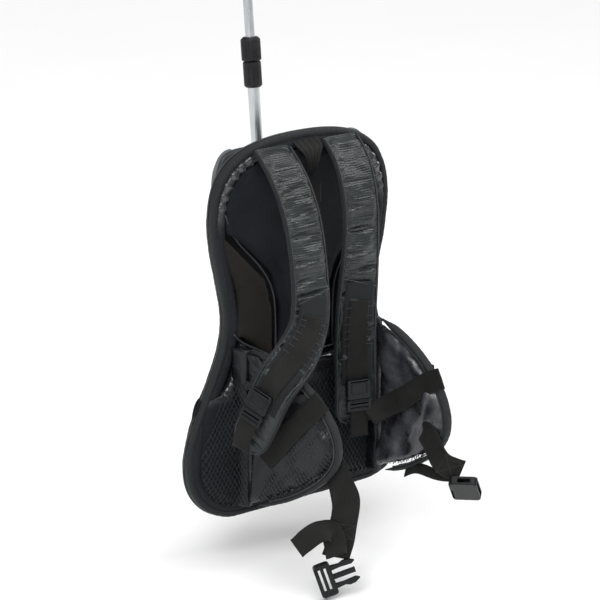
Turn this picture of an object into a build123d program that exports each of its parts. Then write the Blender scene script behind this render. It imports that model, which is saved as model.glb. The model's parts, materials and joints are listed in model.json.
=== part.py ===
"""Hands-free selfie stick: a padded backpack harness that carries a telescoping pole with a phone clamp.

Units are millimetres. +Z is up, -Y faces the wearer, +X is to the right when looking along +Y.
The origin is the middle of the harness panel, where it lies against the wearer's back.
"""
from build123d import *
from math import cos, radians, sin
import os

os.makedirs("parts", exist_ok=True)

SIDES = (("left", -1), ("right", 1))

# ---------------------------------------------------------------- driving dimensions
# pear-shaped panel
panel_top = 261.0
panel_bottom = -260.0
shoulder_half = 150.0
waist_half = 131.0
flare_half = 194.0
flare_corner_x = 84.0
flare_corner_z = 80.0

# layers of the panel, front to back
pad_thickness = 12.0
core_thickness = 8.0
sheet_thickness = 2.0
cover_thickness = 15.0
pad_gap = 1.5
pad_margin = 15.0
sheet_margin = 14.0
binding_width = 10.0
binding_depth = 13.0
cover_margin = 20.0

# shoulder straps
strap_width = 58.0
strap_thickness = 13.0
strap_webbing_width = 30.0
webbing_thickness = 1.8
layer_gap = 0.4

# hip wings
wing_root_x = 114.0
wing_root_y = -24.0
wing_top = -10.0
wing_bottom = -242.0
wing_reach = 157.0
wing_thickness = 11.0
wing_binding = 5.0
mesh_thickness = 1.5
mesh_top = -62.0
left_wing_angle = 17.0
right_wing_angle = 0.0
root_gap = 2.0

# belt
belt_width = 38.0

# pole
pole_lean = 5.8
pole_base_y = 48.0
pole_base_z = -235.0
lower_tube_d = 16.0
upper_tube_d = 13.0
tube_wall = 1.0
lower_tube_length = 566.0
lock_overlap = 25.0
lock_body_length = 36.0
lock_body_d = 24.8
lock_nut_d = 27.0
lock_nut_length = 32.5
neck_d = 19.0
neck_length = 15.0
upper_tube_length = 480.0
exposed_length = 150.0
running_gap = 0.06
seat_gap = 0.05

# pole holder on the back
plate_thickness = 4.0
plate_width = 64.0
cup_depth = 45.0
cup_wall = 5.0
guide_position = 215.0
bracket_position = 415.0
bracket_height = 30.0
screw_d = 4.0
screw_clearance = 0.15
screw_spacing = 46.0

# head
socket_d = 18.0
yoke_d = 26.0
ear_thickness = 5.0
tongue_width = 12.0
pin_d = 5.0
pin_height = 20.0
platform_d = 28.0
stud_d = 6.35

# phone clamp
clamp_width = 44.0
clamp_depth = 12.0
jaw_depth = 24.0
jaw_thickness = 7.0
jaw_opening = 62.0
rod_d = 4.0
rod_spacing = 24.0
spring_d = 7.6

# ---------------------------------------------------------------- derived places
pad_back = 0.0
core_back = pad_back + core_thickness
sheet_back = core_back + sheet_thickness
cover_back = sheet_back + cover_thickness
plate_back = cover_back + plate_thickness
lock_bottom = lower_tube_length - lock_overlap
lock_top = lock_bottom + lock_body_length + lock_nut_length
tube_top = lock_top + exposed_length
tube_bottom = tube_top - upper_tube_length
lower_bore = lower_tube_d - 2 * tube_wall


def finish_part(builder, name):
    """Names a finished piece and writes it to its own file."""
    builder.part.label = name
    export_step(builder.part, f"parts/{name}.step")
    return builder.part


# ---------------------------------------------------------------- panel outlines
def pear_outline(y, margin=0.0):
    """The panel's outline on the plane at depth y, moved inwards by margin."""
    top = panel_top - margin
    bottom = panel_bottom + margin
    shoulder = shoulder_half - margin
    waist = waist_half - margin
    flare = flare_half - margin
    radius_x = flare_corner_x - margin
    radius_z = flare_corner_z - margin
    with BuildSketch(Plane.XZ.offset(-y)) as outline:
        with BuildLine():
            Spline(
                (0, top),
                (0.40 * shoulder, top - 4),
                (0.85 * shoulder, top - 33),
                (shoulder, top - 101),
                (waist, 0),
                (waist + 0.44 * (flare - waist), -74),
                (flare, bottom + radius_z),
                tangents=[(1, 0), (0, -1)],
            )
            corner = (flare - radius_x, bottom + radius_z)
            EllipticalCenterArc(corner, radius_x, radius_z, start_angle=270, arc_size=90)
            Line((flare - radius_x, bottom), (0, bottom))
            mirror(about=Plane.YZ)
        make_face()
    return outline.sketch


def cover_outline(y, room=0.0):
    """The rear cover's outline, grown by room: narrower than the panel, with squarer top corners."""
    half_top = shoulder_half - cover_margin + room
    half_waist = waist_half - cover_margin + room
    half_flare = flare_half - cover_margin + room
    top = panel_top - 12 + room
    bottom = panel_bottom + 12 - room
    corner = flare_corner_z - 5
    with BuildSketch(Plane.XZ.offset(-y)) as outline:
        with BuildLine():
            Line((0, top), (half_top - 30, top - 3))
            Spline(
                (half_top - 30, top - 3),
                (half_top - 6, top - 22),
                (half_top, top - 60),
                tangents=[(1, -0.05), (0, -1)],
            )
            Spline(
                (half_top, top - 60),
                (half_waist, 0),
                (half_waist + 0.44 * (half_flare - half_waist), -74),
                (half_flare, bottom + corner),
                tangents=[(0, -1), (0, -1)],
            )
            CenterArc((half_flare - corner, bottom + corner), corner, 270, 90)
            Line((half_flare - corner, bottom), (0, bottom))
            mirror(about=Plane.YZ)
        make_face()
    return outline.sketch


def screw_places():
    """Height of each holder plate's two rows of screws."""
    rows = []
    for centre in (cup_plate_z, guide_plate_z, bracket_plate_z):
        rows.append(centre - screw_row)
        rows.append(centre + screw_row)
    return [(x, z) for z in rows for x in (-screw_spacing / 2, screw_spacing / 2)]


# ---------------------------------------------------------------- pole frame
def pole_plane(distance):
    """Plane across the pole, a distance up its axis from the bottom of the lower tube."""
    lean = radians(pole_lean)
    origin = (0, pole_base_y + distance * sin(lean), pole_base_z + distance * cos(lean))
    return Plane(origin=origin, x_dir=(1, 0, 0), z_dir=(0, sin(lean), cos(lean)))


screw_row = 20.0
cup_plate_z = pole_plane(cup_depth / 2).origin.Z
guide_plate_z = pole_plane(guide_position).origin.Z
bracket_plate_z = pole_plane(bracket_position).origin.Z


# ---------------------------------------------------------------- panel layers
def pad_face(corners):
    """The part of the inset outline inside a polygon of corners."""
    with BuildSketch(Plane.XZ.offset(-pad_back)) as face:
        add(pear_outline(pad_back, pad_margin))
        with BuildLine():
            Polyline(*corners, close=True)
        make_face(mode=Mode.INTERSECT)
    return face.sketch


def panel_pad(name, faces):
    """A front pad, or a pair of them, raised from their faces."""
    with BuildPart() as pad:
        for face in faces:
            extrude(face, amount=pad_thickness)
    return finish_part(pad, name)


def build_panel():
    seam_side = 142.0
    seam_middle = 28.0
    lumbar_side = -6.0
    lumbar_middle = -44.0
    wide = flare_half + 20
    knee = 62.0
    inner = knee - 14
    upper = [(-wide, seam_side + 30), (-wide, 300), (wide, 300), (wide, seam_side + 30)]
    upper += [(shoulder_half - 20, seam_side), (knee, 72), (inner, seam_middle), (inner, lumbar_middle)]
    upper += [(-inner, lumbar_middle), (-inner, seam_middle), (-knee, 72), (20 - shoulder_half, seam_side)]
    panel_pad("upper_back_pad", [pad_face(upper)])
    g = 2 * pad_gap
    lower_faces = []
    for side, s in SIDES:
        lower = [(s * wide, seam_side + 30 - g), (s * (shoulder_half - 20), seam_side - g)]
        lower += [(s * (knee + g / 2), 72 - g), (s * (inner + g), seam_middle - g)]
        lower += [(s * (inner + g), lumbar_middle), (s * (waist_half - 20), lumbar_side)]
        lower += [(s * wide, lumbar_side + 20)]
        lower_faces.append(pad_face(lower))
    panel_pad("lower_back_pads", lower_faces)
    lumbar = [(-wide, lumbar_side + 20 - g), (20 - waist_half, lumbar_side - g), (-inner, lumbar_middle - g)]
    lumbar += [(inner, lumbar_middle - g), (waist_half - 20, lumbar_side - g)]
    lumbar += [(wide, lumbar_side + 20 - g), (wide, -300), (-wide, -300)]
    panel_pad("lumbar_pad", [pad_face(lumbar)])

    with BuildPart() as panel_core:
        extrude(pear_outline(core_back, binding_width), amount=core_thickness)
        with BuildSketch(Plane.XZ.offset(-core_back)):
            with Locations(*screw_places()):
                Circle(tee_nut_d / 2 + screw_clearance)
        extrude(amount=core_thickness / 2, mode=Mode.SUBTRACT)
    finish_part(panel_core, "panel_core")

    with BuildPart() as frame_sheet:
        extrude(pear_outline(sheet_back, sheet_margin), amount=sheet_thickness)
        with BuildSketch(Plane.XZ.offset(-sheet_back)):
            with Locations(*screw_places()):
                Circle(screw_d / 2 + screw_clearance)
        extrude(amount=sheet_thickness, mode=Mode.SUBTRACT)
    finish_part(frame_sheet, "frame_sheet")

    with BuildPart() as rear_cover:
        extrude(cover_outline(cover_back), amount=cover_thickness)
        chamfer(rear_cover.faces().sort_by(Axis.Y)[-1].edges(), length=4)
        with BuildSketch(Plane.XZ.offset(-cover_back)):
            with Locations(*screw_places()):
                Circle(screw_d / 2 + screw_clearance)
        extrude(amount=cover_thickness, mode=Mode.SUBTRACT)
    finish_part(rear_cover, "rear_cover")


def build_binding():
    """Two padded cords of binding run right round the panel's edge."""
    for name, back in (("front_binding", core_back - 2), ("rear_binding", core_back - 2 + binding_depth)):
        depth = binding_depth if name == "front_binding" else binding_depth - layer_gap
        margin = 0.0 if name == "front_binding" else 1.5
        with BuildPart() as binding:
            extrude(pear_outline(back, margin), amount=depth)
            extrude(pear_outline(back, binding_width - layer_gap), amount=depth, mode=Mode.SUBTRACT)
            if name == "rear_binding":
                extrude(cover_outline(back, layer_gap), amount=depth, mode=Mode.SUBTRACT)
        finish_part(binding, name)


# ---------------------------------------------------------------- ribbons
def ribbon(name, stations, width, thickness, shift=0.0, first=0, last=None):
    """A flat strap through stations of (centre, outward direction), moved out by shift."""
    centres = [Vector(*point) for point, outward in stations]
    with BuildPart() as strap:
        for i, (point, outward) in list(enumerate(stations))[first:last]:
            ahead = centres[min(i + 1, len(centres) - 1)]
            behind = centres[max(i - 1, 0)]
            along = (ahead - behind).normalized()
            across = along.cross(Vector(*outward)).normalized()
            out = across.cross(along).normalized()
            with BuildSketch(Plane(origin=centres[i] + out * shift, x_dir=across, z_dir=along)):
                Rectangle(width, thickness)
        loft(ruled=True)
    return finish_part(strap, name)


left_strap = [
    ((-57, -18, 243), (0, -0.7, 0.7)),
    ((-56, -50, 210), (0, -1, 0.4)),
    ((-54, -78, 150), (0, -1, 0.1)),
    ((-54, -90, 85), (0, -1, 0)),
    ((-60, -97, 30), (-0.15, -1, 0)),
    ((-87, -108, -3), (-0.45, -0.88, 0.1)),
    ((-123, -105, -45), (-0.9, -0.42, 0.2)),
    ((-136, -90, -90), (-0.96, -0.27, 0.15)),
    ((-147, -72, -132), (-0.96, -0.27, 0.1)),
]
right_strap = [
    ((57, -18, 243), (0, -0.7, 0.7)),
    ((56, -46, 210), (0, -1, 0.4)),
    ((55, -62, 150), (0, -1, 0.1)),
    ((52, -64, 85), (-0.1, -1, 0)),
    ((50, -61, 30), (-0.25, -1, 0)),
    ((51, -57, -20), (-0.35, -1, 0)),
    ((54, -54, -70), (-0.4, -1, 0)),
    ((58, -50, -112), (-0.4, -1, 0)),
    ((60, -46, -150), (-0.4, -1, 0)),
]


def station_frame(stations, i):
    """Centre, direction down the strap, direction across it and outward direction at one station."""
    along = (Vector(*stations[i + 1][0]) - Vector(*stations[i][0])).normalized()
    across = along.cross(Vector(*stations[i][1])).normalized()
    return Vector(*stations[i][0]), along, across, across.cross(along).normalized()


def build_straps():
    lift = strap_thickness / 2 + webbing_thickness / 2 + layer_gap
    for side, stations in (("left", left_strap), ("right", right_strap)):
        ribbon(f"shoulder_strap_{side}", stations, strap_width, strap_thickness)
        ribbon(f"strap_webbing_{side}", stations, strap_webbing_width, webbing_thickness, lift, 4, 7)


# ---------------------------------------------------------------- quick-release buckles
def buckle_socket(plane, width):
    """Female half: a flat box with side windows, open towards +Y of its plane, with a webbing bar."""
    length = 0.85 * width
    depth = 0.27 * width
    with BuildPart(plane, mode=Mode.PRIVATE) as socket:
        with BuildSketch(plane):
            RectangleRounded(width, length, 0.12 * width)
        extrude(amount=depth / 2, both=True)
        chamfer(socket.faces().sort_by(Axis(plane.origin, plane.z_dir))[-1].edges(), length=0.03 * width)
        with Locations((0, 0.12 * length, 0)):
            Box(0.80 * width, length, 0.62 * depth, mode=Mode.SUBTRACT)
        with Locations((0, 0.05 * length, 0)):
            Box(1.2 * width, 0.45 * length, 0.5 * depth, mode=Mode.SUBTRACT)
        with Locations((0, -0.44 * length, 0)):
            Box(0.76 * width, 0.07 * length, 2 * depth, mode=Mode.SUBTRACT)
    return socket.part


def buckle_plug(plane, width):
    """Male half: a ladder-lock frame with two sprung side prongs and a straight middle guide."""
    length = 0.5 * width
    depth = 0.24 * width
    reach = 0.72 * width
    with BuildPart(plane, mode=Mode.PRIVATE) as plug:
        with BuildSketch(plane):
            with Locations((0, -length / 2)):
                RectangleRounded(width, length, 0.1 * width)
        extrude(amount=depth / 2, both=True)
        with Locations((0, -0.36 * length, 0), (0, -0.70 * length, 0)):
            Box(0.76 * width, 0.14 * length, 2 * depth, mode=Mode.SUBTRACT)
        with BuildSketch(plane):
            for s in (-1, 1):
                with BuildLine():
                    Polyline(
                        (s * 0.22 * width, -0.02 * width),
                        (s * 0.36 * width, -0.02 * width),
                        (s * 0.33 * width, 0.35 * reach),
                        (s * 0.385 * width, 0.55 * reach),
                        (s * 0.37 * width, 0.78 * reach),
                        (s * 0.28 * width, reach),
                        (s * 0.22 * width, 0.85 * reach),
                        (s * 0.24 * width, 0.35 * reach),
                        close=True,
                    )
                make_face()
            with Locations((0, 0.45 * reach)):
                Rectangle(0.13 * width, 0.94 * reach)
        extrude(amount=0.25 * depth, both=True)
    return plug.part


def strap_buckle_plane(stations, shift):
    """Plane of a strap's buckle: its y runs down the strap, its z points away from the strap."""
    width = strap_webbing_width + 4
    centre, along, across, out = station_frame(stations, 6)
    lift = strap_thickness / 2 + 0.135 * width + 2.0
    return Plane(origin=centre + along * 24 + out * lift + across * shift, x_dir=along.cross(out), z_dir=out)


def build_strap_buckles():
    """Each shoulder strap ends in a closed quick-release buckle lying on its lower end."""
    width = strap_webbing_width + 4
    sockets = {}
    plugs = {}
    for side, stations in (("left", left_strap), ("right", right_strap)):
        plane = strap_buckle_plane(stations, 7 if side == "left" else 0)
        mouth = plane.origin + plane.y_dir * (0.425 * width + 0.5)
        turned = Plane(origin=mouth, x_dir=plane.x_dir * -1, z_dir=plane.z_dir)
        sockets[side] = buckle_socket(plane, width)
        plugs[side] = buckle_plug(turned, width)
        buckle_ends[side] = (mouth + plane.y_dir * (0.5 * width + 0.5), plane.y_dir, plane.z_dir)
    for name, halves in (("strap_buckle_sockets", sockets), ("strap_buckle_plugs", plugs)):
        with BuildPart() as pair:
            add(halves["left"])
            add(halves["right"])
        finish_part(pair, name)


buckle_ends = {}


# ---------------------------------------------------------------- hip wings
def wing_plane(side, outward):
    """Plane of a wing: its x runs forward from the root, its y is up, at a distance outward of the middle."""
    s = -1 if side == "left" else 1
    angle = radians(left_wing_angle if side == "left" else right_wing_angle)
    forward = Vector(-s * sin(angle), -cos(angle), 0)
    normal = Vector(s * cos(angle), -sin(angle), 0)
    origin = Vector(s * wing_root_x, wing_root_y, 0) + normal * outward
    upward = forward.cross(Vector(0, 0, 1))
    return Plane(origin=origin, x_dir=forward, z_dir=upward), upward.dot(normal)


def wing_outline(plane, margin=0.0):
    """Side view of a wing on a plane: straight root and rounded nose, moved inwards by margin."""
    root = root_gap + margin
    top = wing_top - margin
    bottom = wing_bottom + margin
    nose = wing_reach - margin
    with BuildSketch(plane) as outline:
        with BuildLine():
            Line((root, bottom), (root, top))
            Spline(
                (root, top),
                (0.58 * nose, top - 28),
                (0.91 * nose, top - 74),
                (nose, (wing_top + wing_bottom) / 2 - 5),
                (0.72 * nose, bottom + 48),
                (0.26 * nose, bottom + 12),
                (root, bottom),
            )
        make_face()
    return outline.sketch


def build_wing(side):
    half = wing_thickness / 2
    plane, turn = wing_plane(side, 0)
    with BuildPart() as wing:
        extrude(wing_outline(plane, wing_binding + layer_gap), amount=half, both=True)
    finish_part(wing, f"hip_wing_{side}")

    with BuildPart() as binding:
        extrude(wing_outline(plane), amount=half + 1, both=True)
        extrude(wing_outline(plane, wing_binding), amount=half + 2, both=True, mode=Mode.SUBTRACT)
    finish_part(binding, f"wing_binding_{side}")

    mesh_plane, turn = wing_plane(side, half + layer_gap)
    with BuildPart() as mesh:
        extrude(wing_outline(mesh_plane, wing_binding + 4), amount=mesh_thickness * turn)
        split(bisect_by=Plane.XY.offset(mesh_top), keep=Keep.BOTTOM)
    finish_part(mesh, f"wing_mesh_{side}")


def wing_point(side, forward, height, outward=0.0):
    """A point of a wing from its distance forward of the root, its height and its distance outward."""
    plane, turn = wing_plane(side, outward)
    return plane.origin + plane.x_dir * forward + Vector(0, 0, height)


# ---------------------------------------------------------------- webbing
def build_adjusters():
    """Webbing from each wing's front edge to the strap buckle, with its loose tail."""
    for side, s in SIDES:
        end, along, out = buckle_ends[side]
        start = end + along * 1.5
        low = start + along * 20 + out * 1.0
        if side == "left":
            fore = wing_point("left", 128, -66, wing_thickness / 2 + 5.5)
            root = wing_point("left", 62, -138, wing_thickness / 2 + 5.5)
            outward = (-0.96, -0.28, 0)
        else:
            fore = wing_point("right", 126, -72, -wing_thickness / 2 - 5.5)
            root = start + Vector(9, -16, -10)
            outward = (-0.75, -0.6, 0.2)
        ribbon(
            f"adjuster_webbing_{side}",
            [(tuple(fore), outward), (tuple((fore + root) * 0.5), outward), (tuple(root), outward)],
            strap_webbing_width - 4,
            webbing_thickness,
        )
        tail = [start, low, low + Vector(s * 2, 2, -18)]
        ribbon(
            f"adjuster_tail_{side}",
            [(tuple(point), tuple(out)) for point in tail],
            strap_webbing_width - 4,
            webbing_thickness,
        )


def build_belt():
    """The belt hangs open: the plug half on the left wing, the socket half on the right wing."""
    width = belt_width + 8
    lift = wing_thickness / 2 + 4
    hang = wing_point("left", wing_reach + 1, -208)
    left = [
        (tuple(wing_point("left", 130, -136, -lift)), (-1, -0.3, 0)),
        (tuple(wing_point("left", 148, -172, -lift)), (-0.9, -0.45, 0)),
        (tuple(hang + Vector(9, 2, 0)), (-0.3, -1, 0)),
        (tuple(hang + Vector(4, 6, -46)), (-0.5, -0.9, 0)),
        (tuple(hang + Vector(-2, 8, -70)), (-0.5, -0.9, 0)),
    ]
    ribbon("belt_webbing_left", left, belt_width, webbing_thickness)
    start = Vector(*left[-1][0]) + Vector(0, 0, -4)
    middle = start + Vector(-4, 0, -0.5 * width)
    plane = Plane(origin=middle, x_dir=(0.25, -0.2, -0.95), z_dir=(-0.5, -0.85, 0.05))
    with BuildPart() as belt_plug:
        add(buckle_plug(plane, width))
    finish_part(belt_plug, "belt_buckle_plug")

    foot = wing_point("right", wing_reach + 17, -194)
    right = [
        (tuple(wing_point("right", 102, -138, -lift)), (-1, 0, 0.05)),
        (tuple(wing_point("right", 130, -156, -lift)), (-1, -0.05, 0.05)),
        (tuple(wing_point("right", 154, -180, -lift - 1)), (-1, -0.2, 0)),
        (tuple(foot + Vector(8, 0, 0)), (-0.8, -0.6, 0)),
    ]
    ribbon("belt_webbing_right", right, belt_width, webbing_thickness)
    start = Vector(*right[-1][0]) + Vector(6, -2, -0.52 * width)
    plane = Plane(origin=start, x_dir=(0.55, 0.35, -0.75), z_dir=(-0.7, -0.6, -0.8))
    with BuildPart() as belt_socket:
        add(buckle_socket(plane, width))
    finish_part(belt_socket, "belt_buckle_socket")


def build_yoke():
    """Reinforcement across the strap tops, and the grab handle between them."""
    front = -pad_thickness - layer_gap
    with BuildPart() as yoke_patch:
        with BuildSketch(Plane.XZ.offset(-front)):
            with Locations((0, 176)):
                Rectangle(50, 26)
        extrude(amount=2)
    finish_part(yoke_patch, "yoke_patch")
    with BuildPart() as grab_handle:
        with BuildSketch(Plane.YZ.offset(-12)):
            with BuildLine():
                outside = [(front, 250), (front - 22, 244), (front - 26, 224), (front, 206)]
                inside = [(front, 208.4), (front - 23.4, 225), (front - 20, 242), (front, 247.6)]
                Polyline(*outside, *inside, close=True)
            make_face()
        extrude(amount=24)
    finish_part(grab_handle, "grab_handle")


# ---------------------------------------------------------------- pole holder
tee_nut_d = 12.0


def holder_plate(centre_z):
    """Screwed foot of a holder, standing on the rear cover, in the current part."""
    with BuildSketch(Plane.XZ.offset(-plate_back)) as plate:
        with Locations((0, centre_z)):
            RectangleRounded(plate_width, 2 * screw_row + 16, 8)
    extrude(plate.sketch, amount=plate_thickness)


def holder_arm(distance, length, width):
    """Arm from the plate to the pole, square to the pole, in the current part."""
    reach = pole_plane(distance).origin.Y - cover_back + 12
    with BuildPart(pole_plane(distance), mode=Mode.PRIVATE) as arm:
        with Locations((0, 0, 0)):
            Box(width, reach, length, align=(Align.CENTER, Align.MAX, Align.MIN))
        split(bisect_by=Plane.XZ.offset(-(cover_back + plate_thickness / 2)), keep=Keep.BOTTOM)
    return arm.part


def holder_holes(centre_z):
    """Screw holes through a plate, in the current part."""
    with BuildSketch(Plane.XZ.offset(-plate_back)) as holes:
        with Locations((0, centre_z)):
            with GridLocations(screw_spacing, 2 * screw_row, 2, 2):
                Circle(screw_d / 2 + screw_clearance)
    extrude(holes.sketch, amount=plate_thickness + 1, mode=Mode.SUBTRACT)


def round_bar(distance, diameter, length, mode=Mode.ADD):
    """A bar along the pole, from a distance up its axis, in the current part."""
    with BuildSketch(pole_plane(distance)) as section:
        Circle(diameter / 2)
    extrude(section.sketch, amount=length, mode=mode)


def build_holders():
    cup_d = lower_tube_d + 2 * cup_wall
    tube_hole = lower_tube_d + 2 * seat_gap
    with BuildPart() as pole_cup:
        holder_plate(cup_plate_z)
        add(holder_arm(-cup_wall, cup_depth + cup_wall, 14))
        round_bar(-cup_wall, cup_d, cup_depth + cup_wall)
        round_bar(-seat_gap, tube_hole, cup_depth + 1, Mode.SUBTRACT)
        holder_holes(cup_plate_z)
    finish_part(pole_cup, "pole_cup")

    with BuildPart() as pole_guide:
        holder_plate(guide_plate_z)
        add(holder_arm(guide_position - 10, 20, 14))
        round_bar(guide_position - 10, cup_d, 20)
        round_bar(guide_position - 11, tube_hole, 22, Mode.SUBTRACT)
        holder_holes(guide_plate_z)
    finish_part(pole_guide, "pole_guide")

    low = bracket_position - bracket_height / 2
    across = lower_tube_d + 2 * cup_wall + 22
    with BuildPart() as bracket_base:
        holder_plate(bracket_plate_z)
        add(holder_arm(low, bracket_height, 20))
        with BuildSketch(pole_plane(low)):
            with Locations((0, -8)):
                Rectangle(across, 15)
        extrude(amount=bracket_height)
        round_bar(low - 1, tube_hole, bracket_height + 2, Mode.SUBTRACT)
        holder_holes(bracket_plate_z)
        with BuildSketch(clamp_screw_plane(0)):
            Circle(screw_d / 2 + seat_gap)
        extrude(amount=-14, mode=Mode.SUBTRACT)
        with BuildSketch(clamp_screw_plane(1)):
            Circle(screw_d / 2 + seat_gap)
        extrude(amount=-14, mode=Mode.SUBTRACT)
    finish_part(bracket_base, "bracket_base")

    with BuildPart() as bracket_cap:
        with BuildSketch(pole_plane(low)):
            with Locations((0, 6.5)):
                Rectangle(across, 12)
            with Locations((0, 0.5)):
                Circle(lower_tube_d / 2 + cup_wall)
            with Locations((0, -14.5)):
                Rectangle(2 * across, 30, mode=Mode.SUBTRACT)
        extrude(amount=bracket_height)
        round_bar(low - 1, tube_hole, bracket_height + 2, Mode.SUBTRACT)
        for i in (0, 1):
            with BuildSketch(clamp_screw_plane(i)):
                Circle(screw_d / 2 + running_gap)
            extrude(amount=30, mode=Mode.SUBTRACT)
    finish_part(bracket_cap, "bracket_cap")

    with BuildPart() as bracket_screw:
        with BuildSketch(clamp_screw_plane(0)):
            Circle(screw_d / 2)
        extrude(amount=cap_face)
        with BuildSketch(clamp_screw_plane(0)):
            Circle(screw_d / 2)
        extrude(amount=-12)
        with BuildSketch(clamp_screw_plane(0).offset(cap_face)):
            Circle(screw_d)
        extrude(amount=3.5)
        with BuildSketch(clamp_screw_plane(0).offset(cap_face + 3.5)):
            RegularPolygon(1.6, 6)
        extrude(amount=-2, mode=Mode.SUBTRACT)
    finish_part(bracket_screw, "bracket_screw")

    with BuildPart() as bracket_knob:
        with BuildSketch(clamp_screw_plane(1)):
            Circle(screw_d / 2)
        extrude(amount=cap_face + 1)
        with BuildSketch(clamp_screw_plane(1)):
            Circle(screw_d / 2)
        extrude(amount=-12)
        with BuildSketch(clamp_screw_plane(1).offset(cap_face + 0.1)):
            Circle(5)
        extrude(amount=3)
        with BuildSketch(clamp_screw_plane(1).offset(cap_face + 3.1)):
            Circle(8)
            with PolarLocations(8.4, 6):
                Circle(2.2, mode=Mode.SUBTRACT)
        extrude(amount=11)
        fillet(bracket_knob.faces().sort_by(clamp_axis())[-1].edges(), radius=0.8)
    finish_part(bracket_knob, "bracket_knob")

    with BuildPart() as frame_screws:
        for x, z in screw_places():
            with BuildSketch(Plane.XZ.offset(-plate_back)):
                with Locations((x, z)):
                    Circle(screw_d / 2)
            extrude(amount=plate_back - core_back / 2)
            with BuildSketch(Plane.XZ.offset(-plate_back)):
                with Locations((x, z)):
                    Circle(screw_d)
            extrude(amount=-2.6)
            with BuildSketch(Plane.XZ.offset(-plate_back - 2.6)):
                with Locations((x, z)):
                    Rectangle(5, 1)
                    Rectangle(1, 5)
            extrude(amount=1.2, mode=Mode.SUBTRACT)
    finish_part(frame_screws, "frame_screws")

    with BuildPart() as tee_nuts:
        for x, z in screw_places():
            with BuildSketch(Plane.XZ.offset(-core_back)):
                with Locations((x, z)):
                    Circle(tee_nut_d / 2)
                    Circle(screw_d / 2 + 0.02, mode=Mode.SUBTRACT)
            extrude(amount=1.5)
    finish_part(tee_nuts, "tee_nuts")


cap_face = 12.5


def clamp_screw_plane(index):
    """Plane of a bracket screw: its normal points back from the split between bracket base and cap."""
    base = pole_plane(bracket_position)
    x = (lower_tube_d / 2 + cup_wall + 5) * (-1 if index == 0 else 1)
    return Plane(origin=base.origin + Vector(x, 0, 0), x_dir=(1, 0, 0), z_dir=base.y_dir)


def clamp_axis():
    """Direction of the bracket screws, for sorting faces."""
    plane = clamp_screw_plane(1)
    return Axis(plane.origin, plane.z_dir)


# ---------------------------------------------------------------- pole
def build_pole():
    with BuildPart() as lower_tube:
        round_bar(0, lower_tube_d, lower_tube_length)
        round_bar(0, lower_bore, lower_tube_length, Mode.SUBTRACT)
    finish_part(lower_tube, "lower_tube")

    with BuildPart() as bottom_plug:
        round_bar(0.2, lower_bore - 0.04, 12)
    finish_part(bottom_plug, "bottom_plug")

    with BuildPart() as lock_body:
        round_bar(lock_bottom, lock_body_d, lock_body_length)
        chamfer(lock_body.faces().filter_by(GeomType.PLANE).sort_by(pole_axis())[0].edges(), length=2.5)
        chamfer(lock_body.faces().filter_by(GeomType.PLANE).sort_by(pole_axis())[-1].edges(), length=2.0)
        round_bar(lock_bottom + lock_body_length, neck_d, neck_length)
        with BuildSketch(pole_plane(lock_bottom + 6)):
            with PolarLocations(lock_body_d / 2 + 0.5, 12):
                Circle(1.2)
        extrude(amount=lock_body_length - 12, mode=Mode.SUBTRACT)
        seat_depth = lock_overlap + 1 + seat_gap
        round_bar(lock_bottom - 1, lower_tube_d + 2 * seat_gap, seat_depth, Mode.SUBTRACT)
        running_length = lock_body_length + neck_length + 1
        round_bar(lock_bottom, upper_tube_d + 2 * running_gap, running_length, Mode.SUBTRACT)
    finish_part(lock_body, "lock_body")

    with BuildPart() as lock_collet:
        round_bar(lock_bottom + lock_body_length + neck_length + 0.2, neck_d - 1, 9)
        round_bar(lock_bottom + lock_body_length, upper_tube_d + 2 * running_gap, 40, Mode.SUBTRACT)
        with BuildSketch(pole_plane(lock_bottom + lock_body_length + neck_length)):
            with Locations((8, 0)):
                Rectangle(10, 1.5)
        extrude(amount=12, mode=Mode.SUBTRACT)
    finish_part(lock_collet, "lock_collet")

    nut_bottom = lock_bottom + lock_body_length + 0.4
    with BuildPart() as lock_nut:
        round_bar(nut_bottom, lock_nut_d, lock_nut_length - 0.4)
        chamfer(lock_nut.faces().filter_by(GeomType.PLANE).sort_by(pole_axis())[-1].edges(), length=3.5)
        chamfer(lock_nut.faces().filter_by(GeomType.PLANE).sort_by(pole_axis())[0].edges(), length=1.2)
        with BuildSketch(pole_plane(nut_bottom + 3)):
            with PolarLocations(lock_nut_d / 2 + 0.9, 16):
                Circle(1.7)
        extrude(amount=lock_nut_length - 9, mode=Mode.SUBTRACT)
        round_bar(nut_bottom - 1, neck_d + 2 * running_gap, neck_length + 11, Mode.SUBTRACT)
        round_bar(nut_bottom, upper_tube_d + 0.5, lock_nut_length + 2, Mode.SUBTRACT)
    finish_part(lock_nut, "lock_nut")

    with BuildPart() as upper_tube:
        round_bar(tube_bottom, upper_tube_d, upper_tube_length)
        round_bar(tube_bottom, upper_tube_d - 2 * tube_wall, upper_tube_length, Mode.SUBTRACT)
    finish_part(upper_tube, "upper_tube")

    with BuildPart() as guide_bush:
        round_bar(tube_bottom - 14, lower_bore - 2 * running_gap, 13.8)
        round_bar(tube_bottom - 1, upper_tube_d - 2 * tube_wall - 0.04, 12)
    finish_part(guide_bush, "guide_bush")


def pole_axis():
    """The pole's axis, for sorting faces."""
    plane = pole_plane(0)
    return Axis(plane.origin, plane.z_dir)


# ---------------------------------------------------------------- head
socket_top = tube_top + 6.0
yoke_bottom = socket_top + 0.3
pin_distance = yoke_bottom + pin_height
pin_plane = pole_plane(pin_distance)
tilt_centre = pin_plane.origin


def cross_plane(start):
    """Plane across the tilt pin's axis, a distance along it from the pole's middle."""
    return Plane(origin=tilt_centre + Vector(start, 0, 0), x_dir=(0, 1, 0), z_dir=(1, 0, 0))


def cross_pin(start, diameter, length, mode=Mode.ADD):
    """A bar along X at the tilt axis, in the current part."""
    with BuildSketch(cross_plane(start)) as section:
        Circle(diameter / 2)
    extrude(section.sketch, amount=length, mode=mode)


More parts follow.
